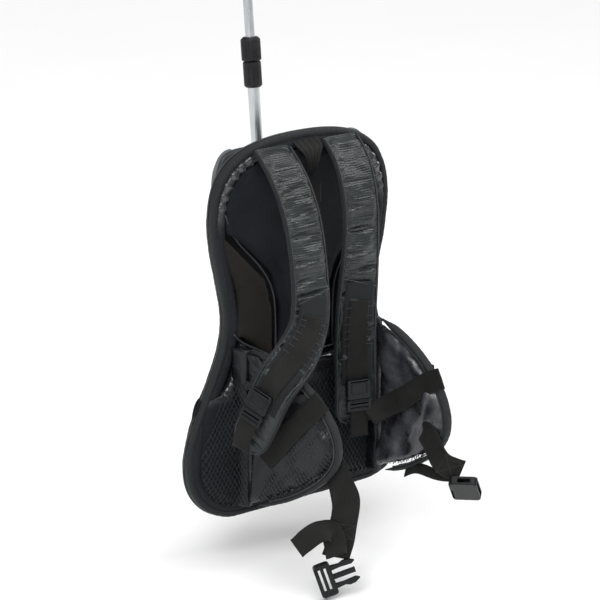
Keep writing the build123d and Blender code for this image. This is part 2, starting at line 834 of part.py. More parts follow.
platform_z = tilt_centre.Z + 17.0
platform_thickness = 5.0
pad_height = 2.0
wheel_thickness = 5.0
wheel_gap = 0.4
clamp_bottom = platform_z + platform_thickness + pad_height + wheel_thickness + 2 * wheel_gap
stud_length = pad_height + wheel_thickness + 9.0


def upright(z):
    """Horizontal plane square over the tilt axis."""
    return Plane(origin=(0, tilt_centre.Y, z), x_dir=(1, 0, 0), z_dir=(0, 0, 1))


def disc(z, diameter, height, mode=Mode.ADD):
    """An upright disc over the tilt axis, in the current part."""
    with BuildSketch(upright(z)) as section:
        Circle(diameter / 2)
    extrude(section.sketch, amount=height, mode=mode)


def build_head():
    with BuildPart() as head_socket:
        round_bar(tube_top - 24, socket_d, 30)
        chamfer(head_socket.faces().sort_by(pole_axis())[0].edges(), length=1)
        round_bar(tube_top - 25, upper_tube_d + 2 * seat_gap, 25 + seat_gap, Mode.SUBTRACT)
        round_bar(socket_top, 8, 4)
    finish_part(head_socket, "head_socket")

    ear_x = tongue_width / 2 + 0.1
    ear_drop = pin_height - 3.0
    with BuildPart() as tilt_yoke:
        round_bar(yoke_bottom, yoke_d, 7)
        for s in (-1, 1):
            ear_plane = Plane(tilt_centre + Vector(s * ear_x, 0, 0), x_dir=pin_plane.y_dir, z_dir=(s, 0, 0))
            with BuildSketch(ear_plane):
                Circle(8)
                with BuildLine():
                    Polyline((-8, 0), (8, 0), (8, -s * ear_drop), (-8, -s * ear_drop), close=True)
                make_face()
            extrude(amount=ear_thickness)
        round_bar(yoke_bottom - 1, 8 + 2 * running_gap, 5.2, Mode.SUBTRACT)
        cross_pin(-20, pin_d + 2 * running_gap, 40, Mode.SUBTRACT)
    finish_part(tilt_yoke, "tilt_yoke")

    with BuildPart() as tilt_block:
        cross_pin(-tongue_width / 2, 15, tongue_width)
        with BuildSketch(upright(tilt_centre.Z)):
            Rectangle(tongue_width, 15)
        extrude(amount=platform_z - tilt_centre.Z)
        disc(platform_z, platform_d, platform_thickness)
        cross_pin(-20, pin_d + 2 * running_gap, 40, Mode.SUBTRACT)
        disc(platform_z - 6, stud_d, 20, Mode.SUBTRACT)
    finish_part(tilt_block, "tilt_block")

    outer = ear_x + ear_thickness
    with BuildPart() as tilt_bolt:
        cross_pin(-outer - 0.1, pin_d, 2 * outer + 5)
        cross_pin(-outer - 3.6, 9, 3.5)
    finish_part(tilt_bolt, "tilt_bolt")

    with BuildPart() as tilt_knob:
        with BuildSketch(cross_plane(outer + 0.2)):
            Circle(6)
        extrude(amount=3)
        with BuildSketch(cross_plane(outer + 3.2)):
            Circle(10)
            with PolarLocations(11, 6):
                Circle(3, mode=Mode.SUBTRACT)
        extrude(amount=12)
        fillet(tilt_knob.faces().sort_by(Axis.X)[-1].edges(), radius=1)
        cross_pin(outer, pin_d + 2 * running_gap, 6, Mode.SUBTRACT)
    finish_part(tilt_knob, "tilt_knob")

    with BuildPart() as screw_stud:
        disc(platform_z - 5.9, stud_d, 5.9 + platform_thickness + stud_length)
        chamfer(screw_stud.faces().sort_by(Axis.Z)[-1].edges(), length=0.8)
    finish_part(screw_stud, "screw_stud")

    with BuildPart() as platform_pad:
        disc(platform_z + platform_thickness, platform_d - 2, pad_height)
        disc(platform_z, stud_d + 0.4, 20, Mode.SUBTRACT)
    finish_part(platform_pad, "platform_pad")

    wheel_z = platform_z + platform_thickness + pad_height + wheel_gap
    with BuildPart() as thumb_wheel:
        with BuildSketch(upright(wheel_z)):
            Circle(12.5)
            with PolarLocations(12.9, 24):
                Circle(0.9, mode=Mode.SUBTRACT)
            Circle(stud_d / 2 + running_gap, mode=Mode.SUBTRACT)
        extrude(amount=wheel_thickness)
    finish_part(thumb_wheel, "thumb_wheel")


# ---------------------------------------------------------------- phone clamp
clamp_y = tilt_centre.Y
body_top = clamp_bottom + 16 + 46
rod_bottom = clamp_bottom + 14
lower_jaw_top = clamp_bottom + 12 + 2.5
upper_jaw_bottom = lower_jaw_top + jaw_opening
face_y = clamp_y - clamp_depth / 2
chamber_bottom = clamp_bottom + 12.0
chamber_top = body_top - 6.0


def clamp_box(x_size, low, high, y_front, y_back, mode=Mode.ADD):
    """A box of the phone clamp between two heights and two depths, in the current part."""
    with BuildSketch(upright(low)) as section:
        with Locations((0, (y_front + y_back) / 2 - clamp_y)):
            Rectangle(x_size, y_back - y_front)
    extrude(section.sketch, amount=high - low, mode=mode)


def build_clamp():
    with BuildPart() as clamp_body:
        clamp_box(clamp_width, clamp_bottom, body_top, face_y, clamp_y + clamp_depth / 2)
        fillet(clamp_body.edges().filter_by(Axis.Z), radius=2.5)
        seat = lower_jaw_top - 2.5
        lip = face_y - jaw_depth
        clamp_box(clamp_width - 4, seat - jaw_thickness, seat, lip, face_y + 3)
        clamp_box(clamp_width - 4, lower_jaw_top - 4, lower_jaw_top + 4, lip, lip + 3)
        disc(clamp_bottom, 10, 9.5, Mode.SUBTRACT)
        with BuildSketch(upright(chamber_bottom)):
            with Locations((-rod_spacing / 2, 0), (rod_spacing / 2, 0)):
                Circle(spring_d / 2 + 0.4)
        extrude(amount=chamber_top - chamber_bottom, mode=Mode.SUBTRACT)
        with BuildSketch(upright(chamber_top)):
            with Locations((-rod_spacing / 2, 0), (rod_spacing / 2, 0)):
                Circle(rod_d / 2 + running_gap)
        extrude(amount=20, mode=Mode.SUBTRACT)
        with BuildSketch(Plane.XZ.offset(-(clamp_y + clamp_depth / 2))):
            with Locations((0, body_top - 24)):
                Circle(stud_d / 2)
        extrude(amount=8, mode=Mode.SUBTRACT)
    finish_part(clamp_body, "clamp_body")

    with BuildPart() as threaded_insert:
        disc(clamp_bottom + 0.02, 10, 9.4)
        disc(clamp_bottom, stud_d + 2 * running_gap, 12, Mode.SUBTRACT)
    finish_part(threaded_insert, "threaded_insert")

    with BuildPart() as upper_jaw:
        seat = upper_jaw_bottom + 2.5
        lip = face_y - jaw_depth
        clamp_box(clamp_width, seat, seat + 8, face_y, clamp_y + clamp_depth / 2)
        fillet(upper_jaw.edges().filter_by(Axis.Z), radius=2.5)
        clamp_box(clamp_width - 4, seat, seat + jaw_thickness, lip, face_y + 3)
        clamp_box(clamp_width - 4, upper_jaw_bottom - 4, upper_jaw_bottom + 4, lip, lip + 3)
        with BuildSketch(upright(upper_jaw_bottom + 2)):
            with Locations((-rod_spacing / 2, 0), (rod_spacing / 2, 0)):
                Circle(rod_d / 2)
        extrude(amount=6, mode=Mode.SUBTRACT)
    finish_part(upper_jaw, "upper_jaw")

    with BuildPart() as guide_rods:
        for x in (-rod_spacing / 2, rod_spacing / 2):
            with BuildSketch(upright(rod_bottom)):
                with Locations((x, 0)):
                    Circle(rod_d / 2)
            extrude(amount=upper_jaw_bottom + 7.9 - rod_bottom)
            with BuildSketch(upright(rod_bottom)):
                with Locations((x, 0)):
                    Circle(spring_d / 2)
            extrude(amount=3)
    finish_part(guide_rods, "guide_rods")

    with BuildPart() as jaw_springs:
        with BuildSketch(upright(rod_bottom + 3.1)):
            with Locations((-rod_spacing / 2, 0), (rod_spacing / 2, 0)):
                Circle(spring_d / 2 - 0.2)
                Circle(rod_d / 2 + 0.5, mode=Mode.SUBTRACT)
        extrude(amount=chamber_top - 0.1 - rod_bottom - 3.1)
    finish_part(jaw_springs, "jaw_springs")

    for name, low in (("lower_jaw_pad", lower_jaw_top - 2.5), ("upper_jaw_pad", upper_jaw_bottom)):
        with BuildPart() as jaw_pad:
            clamp_box(clamp_width - 8, low, low + 2.5, face_y - jaw_depth + 3.2, face_y - 0.2)
        finish_part(jaw_pad, name)


build_panel()
build_binding()
build_straps()
build_strap_buckles()
for wing_side in ("left", "right"):
    build_wing(wing_side)
build_adjusters()
build_belt()
build_yoke()
build_holders()
build_pole()
build_head()
build_clamp()
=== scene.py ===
import json
import math

import bpy
import numpy as np
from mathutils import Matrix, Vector


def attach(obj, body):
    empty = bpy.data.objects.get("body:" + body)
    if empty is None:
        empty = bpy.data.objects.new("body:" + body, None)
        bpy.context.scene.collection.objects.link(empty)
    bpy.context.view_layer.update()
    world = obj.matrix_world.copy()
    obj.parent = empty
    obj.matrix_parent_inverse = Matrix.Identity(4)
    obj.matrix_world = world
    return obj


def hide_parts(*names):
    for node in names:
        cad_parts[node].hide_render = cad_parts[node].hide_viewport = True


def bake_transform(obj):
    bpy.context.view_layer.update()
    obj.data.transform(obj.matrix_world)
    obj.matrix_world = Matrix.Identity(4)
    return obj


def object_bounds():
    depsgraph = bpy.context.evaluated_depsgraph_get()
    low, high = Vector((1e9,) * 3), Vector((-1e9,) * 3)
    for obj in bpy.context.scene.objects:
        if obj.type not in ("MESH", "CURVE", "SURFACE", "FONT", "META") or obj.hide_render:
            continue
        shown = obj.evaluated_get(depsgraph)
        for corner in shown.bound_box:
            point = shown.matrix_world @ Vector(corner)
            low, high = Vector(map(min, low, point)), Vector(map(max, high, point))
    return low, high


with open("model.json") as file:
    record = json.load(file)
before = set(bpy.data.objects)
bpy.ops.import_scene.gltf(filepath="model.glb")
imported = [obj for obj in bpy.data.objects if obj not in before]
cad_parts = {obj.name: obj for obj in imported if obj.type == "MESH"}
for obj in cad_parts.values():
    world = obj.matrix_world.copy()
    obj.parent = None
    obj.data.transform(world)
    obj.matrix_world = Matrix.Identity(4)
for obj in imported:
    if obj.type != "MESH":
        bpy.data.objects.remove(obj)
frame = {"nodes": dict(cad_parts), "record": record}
cad_low, cad_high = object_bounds()
nodes = frame["nodes"]
MM = 0.001

# Sizes of the CAD frame that the soft pieces repeat, in millimetres.
panel_top, panel_bottom = 261.0, -260.0
shoulder_half, waist_half, flare_half = 150.0, 131.0, 194.0
corner_x, corner_z = 84.0, 80.0
wing_root_x, wing_root_y = 114.0, -24.0
wing_reach = 157.0
wing_angle = {"left": math.radians(17), "right": 0.0}
side_sign = {"left": -1, "right": 1}
gusset_reach, gusset_half, gusset_y = 9.0, 5.2, -9.5
UP = np.array([0, 0, 1.0])
FRONT = np.array([0, -1.0, 0])


# ------------------------------------------------------------ curves and noise
def unit(vectors):
    vectors = np.asarray(vectors, float)
    return vectors / np.linalg.norm(vectors, axis=-1, keepdims=True)


def spline(points, step, start=None, end=None):
    """A smooth cubic curve through points, as points about step apart."""
    points = np.asarray(points, float)
    gaps = np.linalg.norm(np.diff(points, axis=0), axis=1)
    count = len(points)
    matrix = np.zeros((count, count))
    right = np.zeros(points.shape)
    for i in range(1, count - 1):
        a, b = gaps[i - 1], gaps[i]
        matrix[i, i - 1], matrix[i, i], matrix[i, i + 1] = b, 2 * (a + b), a
        right[i] = 3 * (b * (points[i] - points[i - 1]) / a + a * (points[i + 1] - points[i]) / b)
    for row, near, gap, tangent in ((0, 1, gaps[0], start), (-1, -2, gaps[-1], end)):
        if tangent is None:
            matrix[row, row], matrix[row, near] = 2, 1
            right[row] = 3 * (points[near] - points[row]) / gap * (1 if row == 0 else -1)
        else:
            matrix[row, row] = 1
            right[row] = unit(tangent)
    slopes = np.linalg.solve(matrix, right)
    found = []
    for i in range(count - 1):
        t = np.linspace(0, 1, 24, endpoint=False)[:, None]
        h = gaps[i]
        found.append(
            (2 * t**3 - 3 * t**2 + 1) * points[i]
            + (t**3 - 2 * t**2 + t) * h * slopes[i]
            + (3 * t**2 - 2 * t**3) * points[i + 1]
            + (t**3 - t**2) * h * slopes[i + 1]
        )
    found.append(points[-1:])
    return resample(np.vstack(found), step)


def resample(points, step, closed=False):
    """The same line with points evenly spaced, about step apart."""
    if closed:
        points = np.vstack([points, points[:1]])
    lengths = np.concatenate([[0], np.cumsum(np.linalg.norm(np.diff(points, axis=0), axis=1))])
    count = max(3, int(round(lengths[-1] / step)) + 1)
    where = np.linspace(0, lengths[-1], count)
    made = at_lengths(where, lengths, points)
    return made[:-1] if closed else made


def at_lengths(where, lengths, values):
    """Columns of values, known at lengths, read at other lengths."""
    return np.column_stack([np.interp(where, lengths, column) for column in values.T])


def turning_path(knots, step):
    """A smooth line through (place, outward) knots, with its outward directions."""
    both = np.array([list(place) + list(unit(outward) * 40) for place, outward in knots])
    fine = spline(both, step)
    return fine[:, :3], unit(fine[:, 3:])


def waves(points, wavelength, seed, squeeze=(1, 1, 1)):
    """Smooth repeatable noise of about -1 to 1 at each point, with that wavelength in millimetres."""
    rng = np.random.default_rng(seed)
    total = np.zeros(len(points))
    for _ in range(9):
        direction = unit(rng.normal(size=3)) * np.array(squeeze)
        wave = 2 * math.pi / (wavelength * rng.uniform(0.6, 1.7))
        total += np.sin(points @ direction * wave + rng.uniform(0, 2 * math.pi))
    return total / 3.2


def wavy(height, wavelength, seed):
    """A bump for sweep: smooth waves of that height."""
    return lambda points, _grain: height * waves(points, wavelength, seed)


def smoothstep(x, low, high):
    t = np.clip((x - low) / (high - low), 0, 1)
    return t * t * (3 - 2 * t)


# ------------------------------------------------------------ mesh making
def make_piece(name, points, faces, grain=None, smooth=True):
    """A mesh object from points in millimetres. grain holds each point's place along and across the cloth."""
    mesh = bpy.data.meshes.new(name)
    mesh.from_pydata((np.asarray(points) * MM).tolist(), [], [tuple(f) for f in faces])
    mesh.validate()
    mesh.update()
    if smooth:
        mesh.shade_smooth()
    obj = bpy.data.objects.new(name, mesh)
    bpy.context.scene.collection.objects.link(obj)
    if grain is not None:
        set_grain(obj, grain)
    return obj


def set_grain(obj, grain):
    """Stores (along, across, gloss) for every point, in metres and a share."""
    attribute = obj.data.attributes.get("grain") or obj.data.attributes.new("grain", "FLOAT_VECTOR", "POINT")
    grain = np.asarray(grain, np.float32)
    if grain.shape[1] == 2:
        grain = np.column_stack([grain, np.zeros(len(grain), np.float32)])
    grain[:, :2] *= MM
    attribute.data.foreach_set("vector", grain.astype(np.float32).ravel())


def points_of(obj):
    """The mesh's points in millimetres."""
    flat = np.empty(len(obj.data.vertices) * 3, np.float32)
    obj.data.vertices.foreach_get("co", flat)
    return flat.reshape(-1, 3).astype(float) / MM


def move_points(obj, points):
    obj.data.vertices.foreach_set("co", (np.asarray(points) * MM).astype(np.float32).ravel())
    obj.data.update()


def normals_of(obj):
    flat = np.empty(len(obj.data.vertices) * 3, np.float32)
    obj.data.vertex_normals.foreach_get("vector", flat)
    return flat.reshape(-1, 3).astype(float)


def path_frames(path, outward, closed=False):
    """Directions along, across and out of a path at each of its points."""
    if closed:
        along = np.roll(path, -1, 0) - np.roll(path, 1, 0)
    else:
        along = np.gradient(path, axis=0)
    along = unit(along)
    across = unit(np.cross(along, outward))
    return along, across, unit(np.cross(across, along))


def ring_faces(count, ring, base=0, closed=False):
    """Faces between neighbouring rings of points, from the point numbered base."""
    faces = []
    for i in range(count if closed else count - 1):
        a, b = base + i * ring, base + (i + 1) % count * ring
        for j in range(ring):
            k = (j + 1) % ring
            faces.append((a + j, a + k, b + k, b + j))
    return faces


def cap_faces(count, ring, base=0):
    """Faces that close a tube's first and last rings."""
    first = tuple(base + j for j in range(ring))
    return [first[::-1], tuple(base + (count - 1) * ring + j for j in range(ring))]


def sweep(name, path, outward, section, closed=False, bump=None):
    """A tube along path. section is (points, 2) across and out, or (path, points, 2) where it changes."""
    along, across, out = path_frames(path, outward, closed)
    count = len(path)
    section = np.asarray(section, float)
    if section.ndim == 2:
        section = np.repeat(section[None], count, 0)
    ring = section.shape[1]
    points = path[:, None] + section[..., :1] * across[:, None] + section[..., 1:] * out[:, None]
    lengths = np.concatenate([[0], np.cumsum(np.linalg.norm(np.diff(path, axis=0), axis=1))])
    round_it = np.linalg.norm(np.diff(section[0], axis=0, append=section[0][:1]), axis=1)
    around = np.concatenate([[0], np.cumsum(round_it)[:-1]])
    grain = np.stack(np.broadcast_arrays(lengths[:, None], around[None, :]), -1).reshape(-1, 2)
    if bump is not None:
        centre = section.mean(1, keepdims=True)
        away = unit(section - centre)
        away = away[..., :1] * across[:, None] + away[..., 1:] * out[:, None]
        points = points + away * bump(points.reshape(-1, 3), grain).reshape(count, ring, 1)
    faces = ring_faces(count, ring, closed=closed)
    if not closed:
        faces += cap_faces(count, ring)
    return make_piece(name, points.reshape(-1, 3), faces, grain)


def signed_power(values, power):
    """The size of each value raised to a power, with its sign kept."""
    return np.sign(values) * np.abs(values) ** power


def rounded(width, thickness, count=20, power=4.0):
    """A superellipse section."""
    angle = np.linspace(0, 2 * math.pi, count, endpoint=False)
    x = signed_power(np.cos(angle), 2 / power) * width / 2
    y = signed_power(np.sin(angle), 2 / power) * thickness / 2
    return np.column_stack([x, y])


def strip_section(width, thickness, count=12):
    """A flat strip's section: even points across both faces."""
    x = np.linspace(-width / 2, width / 2, count)
    edge = np.ones(count)
    edge[0] = edge[-1] = 0.45
    front = np.column_stack([x, edge * thickness / 2])
    back = np.column_stack([x[::-1], -edge[::-1] * thickness / 2])
    return np.vstack([front, back])


def strip(name, path, outward, width, thickness=1.8, ripple=0.0, seed=1):
    """A length of webbing along a path."""
    section = strip_section(width, thickness)
    return sweep(name, path, outward, section, bump=wavy(ripple, 35, seed) if ripple else None)


def stitch_row(name, path, outward, length=3.0, gap=1.3, thick=0.7):
    """A row of separate stitches lying along a path."""
    path = np.asarray(path, float)
    both = np.column_stack([path, np.broadcast_to(outward, path.shape) * 1e-3])
    both = resample(both, length + gap)
    path, outward = both[:, :3], unit(both[:, 3:])
    along, across, out = path_frames(path, outward)
    ring, levels = 6, (-1.0, -0.55, 0.0, 0.55, 1.0)
    points, faces = [], []
    for p, a, c, o in zip(path, along, across, out):
        base = len(points)
        for level in levels:
            radius = thick / 2 * math.sqrt(max(0.06, 1 - level * level))
            for j in range(ring):
                t = 2 * math.pi * j / ring
                points.append(p + a * level * length / 2 + (c * math.cos(t) + o * math.sin(t)) * radius)
        faces += ring_faces(len(levels), ring, base) + cap_faces(len(levels), ring, base)
    return make_piece(name, points, faces)


def join(name, objects):
    """One mesh from several."""
    bpy.ops.object.select_all(action="DESELECT")
    for obj in objects:
        obj.select_set(True)
    bpy.context.view_layer.objects.active = objects[0]
    bpy.ops.object.join()
    objects[0].name = name
    return objects[0]


def soft_copy(name, node, voxel, shrink):
    """A remeshed copy of a CAD solid, drawn in along its normals by shrink millimetres."""
    obj = bpy.data.objects.new(name, nodes[node].data.copy())
    obj.data.materials.clear()
    bpy.context.scene.collection.objects.link(obj)
    remesh = obj.modifiers.new("remesh", "REMESH")
    remesh.mode = "VOXEL"
    remesh.voxel_size = voxel * MM
    smooth = obj.modifiers.new("smooth", "SMOOTH")
    smooth.iterations = 6
    bake_modifiers(obj)
    move_points(obj, points_of(obj) - normals_of(obj) * shrink)
    return obj


def bake_modifiers(obj):
    """Replaces the object's mesh by what its modifiers make of it."""
    bpy.context.view_layer.update()
    evaluated = obj.evaluated_get(bpy.context.evaluated_depsgraph_get())
    mesh = bpy.data.meshes.new_from_object(evaluated)
    obj.modifiers.clear()
    obj.data = mesh
    mesh.shade_smooth()


def subdivide(obj, levels=1):
    modifier = obj.modifiers.new("subdivide", "SUBSURF")
    modifier.levels = modifier.render_levels = levels
    bake_modifiers(obj)


def inflate(jobs, frames=20):
    """Swells the pads together by cloth simulation. Each job is (object, pressure, cap, pinned points)."""
    starts = {}
    for obj, pressure, _cap, pinned in jobs:
        starts[obj.name] = points_of(obj)
        cloth = obj.modifiers.new("cloth", "CLOTH")
        settings = cloth.settings
        settings.use_pressure = True
        settings.uniform_pressure_force = pressure
        settings.effector_weights.gravity = 0
        settings.quality = 5
        settings.tension_stiffness = 18
        settings.compression_stiffness = 12
        settings.bending_stiffness = 1.5
        settings.shrink_min = -0.035
        cloth.collision_settings.use_collision = False
        if pinned is not None:
            group = obj.vertex_groups.new(name="pinned")
            group.add([int(i) for i in np.flatnonzero(pinned)], 1.0, "REPLACE")
            settings.vertex_group_mass = "pinned"
    scene = bpy.context.scene
    for number in range(1, frames + 1):
        scene.frame_set(number)
    for obj, _pressure, cap, _pinned in jobs:
        bake_modifiers(obj)
        start = starts[obj.name]
        moved = points_of(obj) - start
        size = np.linalg.norm(moved, axis=1, keepdims=True)
        moved *= np.minimum(1, cap / np.maximum(size, 1e-9))
        move_points(obj, start + moved)
    scene.frame_set(1)


# ------------------------------------------------------------ materials
class Graph:
    """A Principled material and short calls to add nodes to it."""

    def __init__(self, name, colour, roughness, metallic=0.0, shine=0.5):
        self.material = bpy.data.materials.new(name)
        self.material.use_nodes = True
        self.tree = self.material.node_tree
        self.shader = self.tree.nodes["Principled BSDF"]
        self.shader.inputs["Base Color"].default_value = (*colour, 1)
        self.shader.inputs["Roughness"].default_value = roughness
        self.shader.inputs["Metallic"].default_value = metallic
        self.shader.inputs["Specular IOR Level"].default_value = shine

    def node(self, kind, inputs=None, **settings):
        """A new node, its settings set and its inputs linked or set."""
        made = self.tree.nodes.new(kind)
        for key, value in settings.items():
            setattr(made, key, value)
        for key, value in (inputs or {}).items():
            if isinstance(value, bpy.types.NodeSocket):
                self.tree.links.new(value, made.inputs[key])
            else:
                made.inputs[key].default_value = value
        return made

    def math(self, operation, a, b=0.0, c=0.0):
        return self.node("ShaderNodeMath", {0: a, 1: b, 2: c}, operation=operation).outputs[0]

    def mix(self, share, first, second):
        """A colour between two colours, each of them numbers or another node's output."""
        return self.node("ShaderNodeMix", {"Factor": share, 6: first, 7: second}, data_type="RGBA").outputs[2]

    def grain(self):
        """The cloth's own directions: along, across and gloss."""
        attribute = self.node("ShaderNodeAttribute", attribute_name="grain")
        parts = self.node("ShaderNodeSeparateXYZ", {0: attribute.outputs["Vector"]})
        return parts.outputs[0], parts.outputs[1], parts.outputs[2]

    def place(self):
        return self.node("ShaderNodeTexCoord").outputs["Object"]

    def noise(self, scale, detail=3.0, vector=None, distortion=0.0):
        inputs = {"Scale": scale, "Detail": detail, "Distortion": distortion}
        inputs["Vector"] = vector or self.place()
        return self.node("ShaderNodeTexNoise", inputs).outputs["Fac"]

    def ramp(self, value, low, high, start=0.3, end=0.7):
        """Spreads a value between two numbers."""
        inputs = {"Value": value, "From Min": start, "From Max": end, "To Min": low, "To Max": high}
        return self.node("ShaderNodeMapRange", inputs).outputs["Result"]

    def vary_colour(self, value, dark, light):
        mixed = self.mix(value, (*dark, 1), (*light, 1))
        self.tree.links.new(mixed, self.shader.inputs["Base Color"])

    def vary_roughness(self, value):
        self.tree.links.new(value, self.shader.inputs["Roughness"])

    def bump(self, heights):
        """heights is a list of (value, height in metres)."""
        normal = None
        for value, distance in heights:
            made = self.node("ShaderNodeBump", {"Height": value, "Distance": distance, "Strength": 1.0})
            if normal is not None:
                self.tree.links.new(normal, made.inputs["Normal"])
            normal = made.outputs["Normal"]
        self.tree.links.new(normal, self.shader.inputs["Normal"])

    def sheen(self, weight, roughness=0.4, tint=(1, 1, 1)):
        self.shader.inputs["Sheen Weight"].default_value = weight
        self.shader.inputs["Sheen Roughness"].default_value = roughness
        self.shader.inputs["Sheen Tint"].default_value = (*tint, 1)


def plain_weave(graph, along, across, pitch):
    """Threads over and under at a pitch in metres."""
    turn = 2 * math.pi / pitch
    a = graph.math("SINE", graph.math("MULTIPLY", along, turn))
    b = graph.math("SINE", graph.math("MULTIPLY", across, turn))
    return graph.math("MULTIPLY", a, b)


def cloth_material(name, dark, light, roughness, pitch, relief, sheen=0.05, tint=(0.8, 0.9, 1.0), shine=0.12):
    """Woven cloth: thread relief, soft colour patches, small creases."""
    graph = Graph(name, light, roughness, shine=shine)
    along, across, _gloss = graph.grain()
    weave = plain_weave(graph, along, across, pitch)
    patches = graph.noise(26, 4)
    fine = graph.noise(900, 2)
    mixed = graph.math("MULTIPLY_ADD", weave, 0.10, patches)
    mixed = graph.math("MULTIPLY_ADD", fine, 0.25, mixed)
    graph.vary_colour(graph.ramp(mixed, 0, 1, 0.35, 0.9), dark, light)
    graph.vary_roughness(graph.ramp(patches, roughness - 0.08, roughness + 0.08))
    graph.bump([(graph.noise(90, 3, distortion=0.6), 0.0004), (weave, relief), (fine, relief * 0.5)])
    graph.sheen(sheen, 0.45, tint)
    return graph.material


def nylon_material(name, dark, light, roughness, shine, creases=0.0030):
    """Glossy coated nylon with soft creases and fine ripstop squares."""
    graph = Graph(name, light, roughness, shine=shine)
    along, across, _gloss = graph.grain()
    square = graph.math("MAXIMUM", *[
        graph.math(
            "GREATER_THAN", graph.math("SINE", graph.math("MULTIPLY", value, 2 * math.pi / 0.0045)), 0.94
        )
        for value in (along, across)
    ])
    weave = plain_weave(graph, along, across, 0.0007)
    patches = graph.noise(30, 4)
    graph.vary_colour(graph.ramp(patches, 0, 1), dark, light)
    graph.vary_roughness(graph.ramp(graph.noise(60, 3), roughness - 0.06, roughness + 0.10))
    folds = graph.noise(16, 1.5, distortion=0.9)
    graph.bump([(folds, creases), (square, 0.00004), (weave, 0.00002)])
    return graph.material


def ribbed_material(name, dark, light, roughness, pitch, relief, sheen):
    """Strap fabric with fine ridges across the strap."""
    graph = Graph(name, light, roughness, shine=0.42)
    along, across, _gloss = graph.grain()
    wobble = graph.math("MULTIPLY_ADD", graph.noise(70, 2), 0.0016, along)
    ridge = graph.math("SINE", graph.math("MULTIPLY", wobble, 2 * math.pi / pitch))
    thread = graph.math("SINE", graph.math("MULTIPLY", across, 2 * math.pi / 0.0009))
    patches = graph.noise(22, 4)
    mixed = graph.math("MULTIPLY_ADD", ridge, 0.16, patches)
    graph.vary_colour(graph.ramp(mixed, 0, 1, 0.25, 0.8), dark, light)
    graph.vary_roughness(graph.ramp(graph.noise(120, 2), roughness - 0.07, roughness + 0.07))
    graph.bump([(graph.noise(75, 3, distortion=0.8), 0.0007), (ridge, relief), (thread, 0.00004)])
    graph.sheen(sheen, 0.35, (0.75, 1.0, 0.95))
    return graph.material


def webbing_material(name, dark, light, roughness=0.6):
    """Woven webbing: columns of small stitches that step by half a stitch."""
    graph = Graph(name, light, roughness, shine=0.12)
    along, across, _gloss = graph.grain()
    column = graph.math("DIVIDE", across, 0.0017)
    step = graph.math("MULTIPLY", graph.math("FLOOR", column), math.pi)
    turn = graph.math("MULTIPLY_ADD", along, 2 * math.pi / 0.0024, step)
    tooth = graph.math("SINE", turn)
    groove = graph.math("ABSOLUTE", graph.math("SINE", graph.math("MULTIPLY", column, math.pi)))
    height = graph.math("MULTIPLY", graph.math("MULTIPLY_ADD", tooth, 0.35, 0.65), groove)
    worn = graph.noise(45, 4)
    mixed = graph.math("MULTIPLY_ADD", height, 0.45, graph.math("MULTIPLY", worn, 0.6))
    graph.vary_colour(graph.ramp(mixed, 0, 1, 0.25, 0.75), dark, light)
    graph.vary_roughness(graph.ramp(worn, roughness - 0.05, roughness + 0.12))
    graph.bump([(worn, 0.0004), (height, 0.00022)])
    graph.sheen(0.03, 0.5)
    return graph.material


def plastic_material(name, dark, light, roughness, shine):
    """Moulded plastic with a fine spark-eroded texture and rubbed patches."""
    graph = Graph(name, light, roughness, shine=shine)
    rubbed = graph.noise(60, 5)
    fine = graph.noise(1800, 2)
    graph.vary_colour(graph.ramp(rubbed, 0, 1), dark, light)
    graph.vary_roughness(graph.ramp(rubbed, roughness - 0.08, roughness + 0.10))
    graph.bump([(fine, 0.00004), (graph.noise(40, 2), 0.0002)])
    return graph.material


def metal_material(name, dark, light, roughness, lengthwise):
    """Drawn or turned metal, with streaks stretched by lengthwise."""
    graph = Graph(name, light, roughness, 1.0)
    stretched = graph.node("ShaderNodeMapping", {"Vector": graph.place(), "Scale": lengthwise}).outputs[0]
    streaks = graph.noise(420, 4, stretched)
    smudge = graph.noise(18, 3)
    graph.vary_colour(
        graph.ramp(graph.math("MULTIPLY_ADD", streaks, 0.5, smudge), 0, 1, 0.5, 1.0), dark, light
    )
    graph.vary_roughness(graph.ramp(streaks, roughness - 0.06, roughness + 0.10))
    graph.bump([(streaks, 0.00002)])
    return graph.material


mesh_black = cloth_material(
    "pad_mesh_cloth", (0.004, 0.005, 0.007), (0.011, 0.013, 0.017), 0.72, 0.0016, 0.00018
)
pad_cloth = cloth_material(
    "lower_pad_cloth",
    (0.008, 0.007, 0.0065),
    (0.016, 0.0145, 0.013),
    0.78,
    0.0012,
    0.00014,
    0.04,
    (1, 0.95, 0.9),
)
binding_cloth = cloth_material(
    "binding_tape", (0.007, 0.0075, 0.008), (0.015, 0.016, 0.017), 0.6, 0.0010, 0.00010, 0.06, shine=0.22
)
piping_cloth = cloth_material(
    "piping_cord", (0.014, 0.015, 0.016), (0.035, 0.038, 0.040), 0.42, 0.0012, 0.00012, 0.08, shine=0.4
)
backing_cloth = cloth_material(
    "backing_cloth", (0.003, 0.003, 0.004), (0.008, 0.008, 0.009), 0.8, 0.0014, 0.00012
)
nylon = nylon_material("coated_nylon", (0.003, 0.0035, 0.005), (0.008, 0.009, 0.012), 0.28, 0.3, 0.0025)
# Wing nylon for the faces turned inwards: the same black nylon with a much lighter colour, which is a painted
# reflection of the glossy inner face.
painted_reflection_nylon = nylon_material("wing_nylon_painted_reflection", (0.008, 0.008, 0.011), (0.062, 0.064, 0.074), 0.24, 0.8, 0.0105)
cover_nylon = nylon_material("cover_nylon", (0.012, 0.013, 0.015), (0.026, 0.028, 0.031), 0.40, 0.35, 0.0012)
edging_cloth = cloth_material(
    "rear_edging", (0.07, 0.075, 0.08), (0.15, 0.155, 0.16), 0.45, 0.0011, 0.00012, shine=0.4
)
strap_cloth = ribbed_material(
    "strap_cloth", (0.004, 0.0055, 0.006), (0.019, 0.024, 0.0245), 0.31, 0.0030, 0.00010, 0.06
)
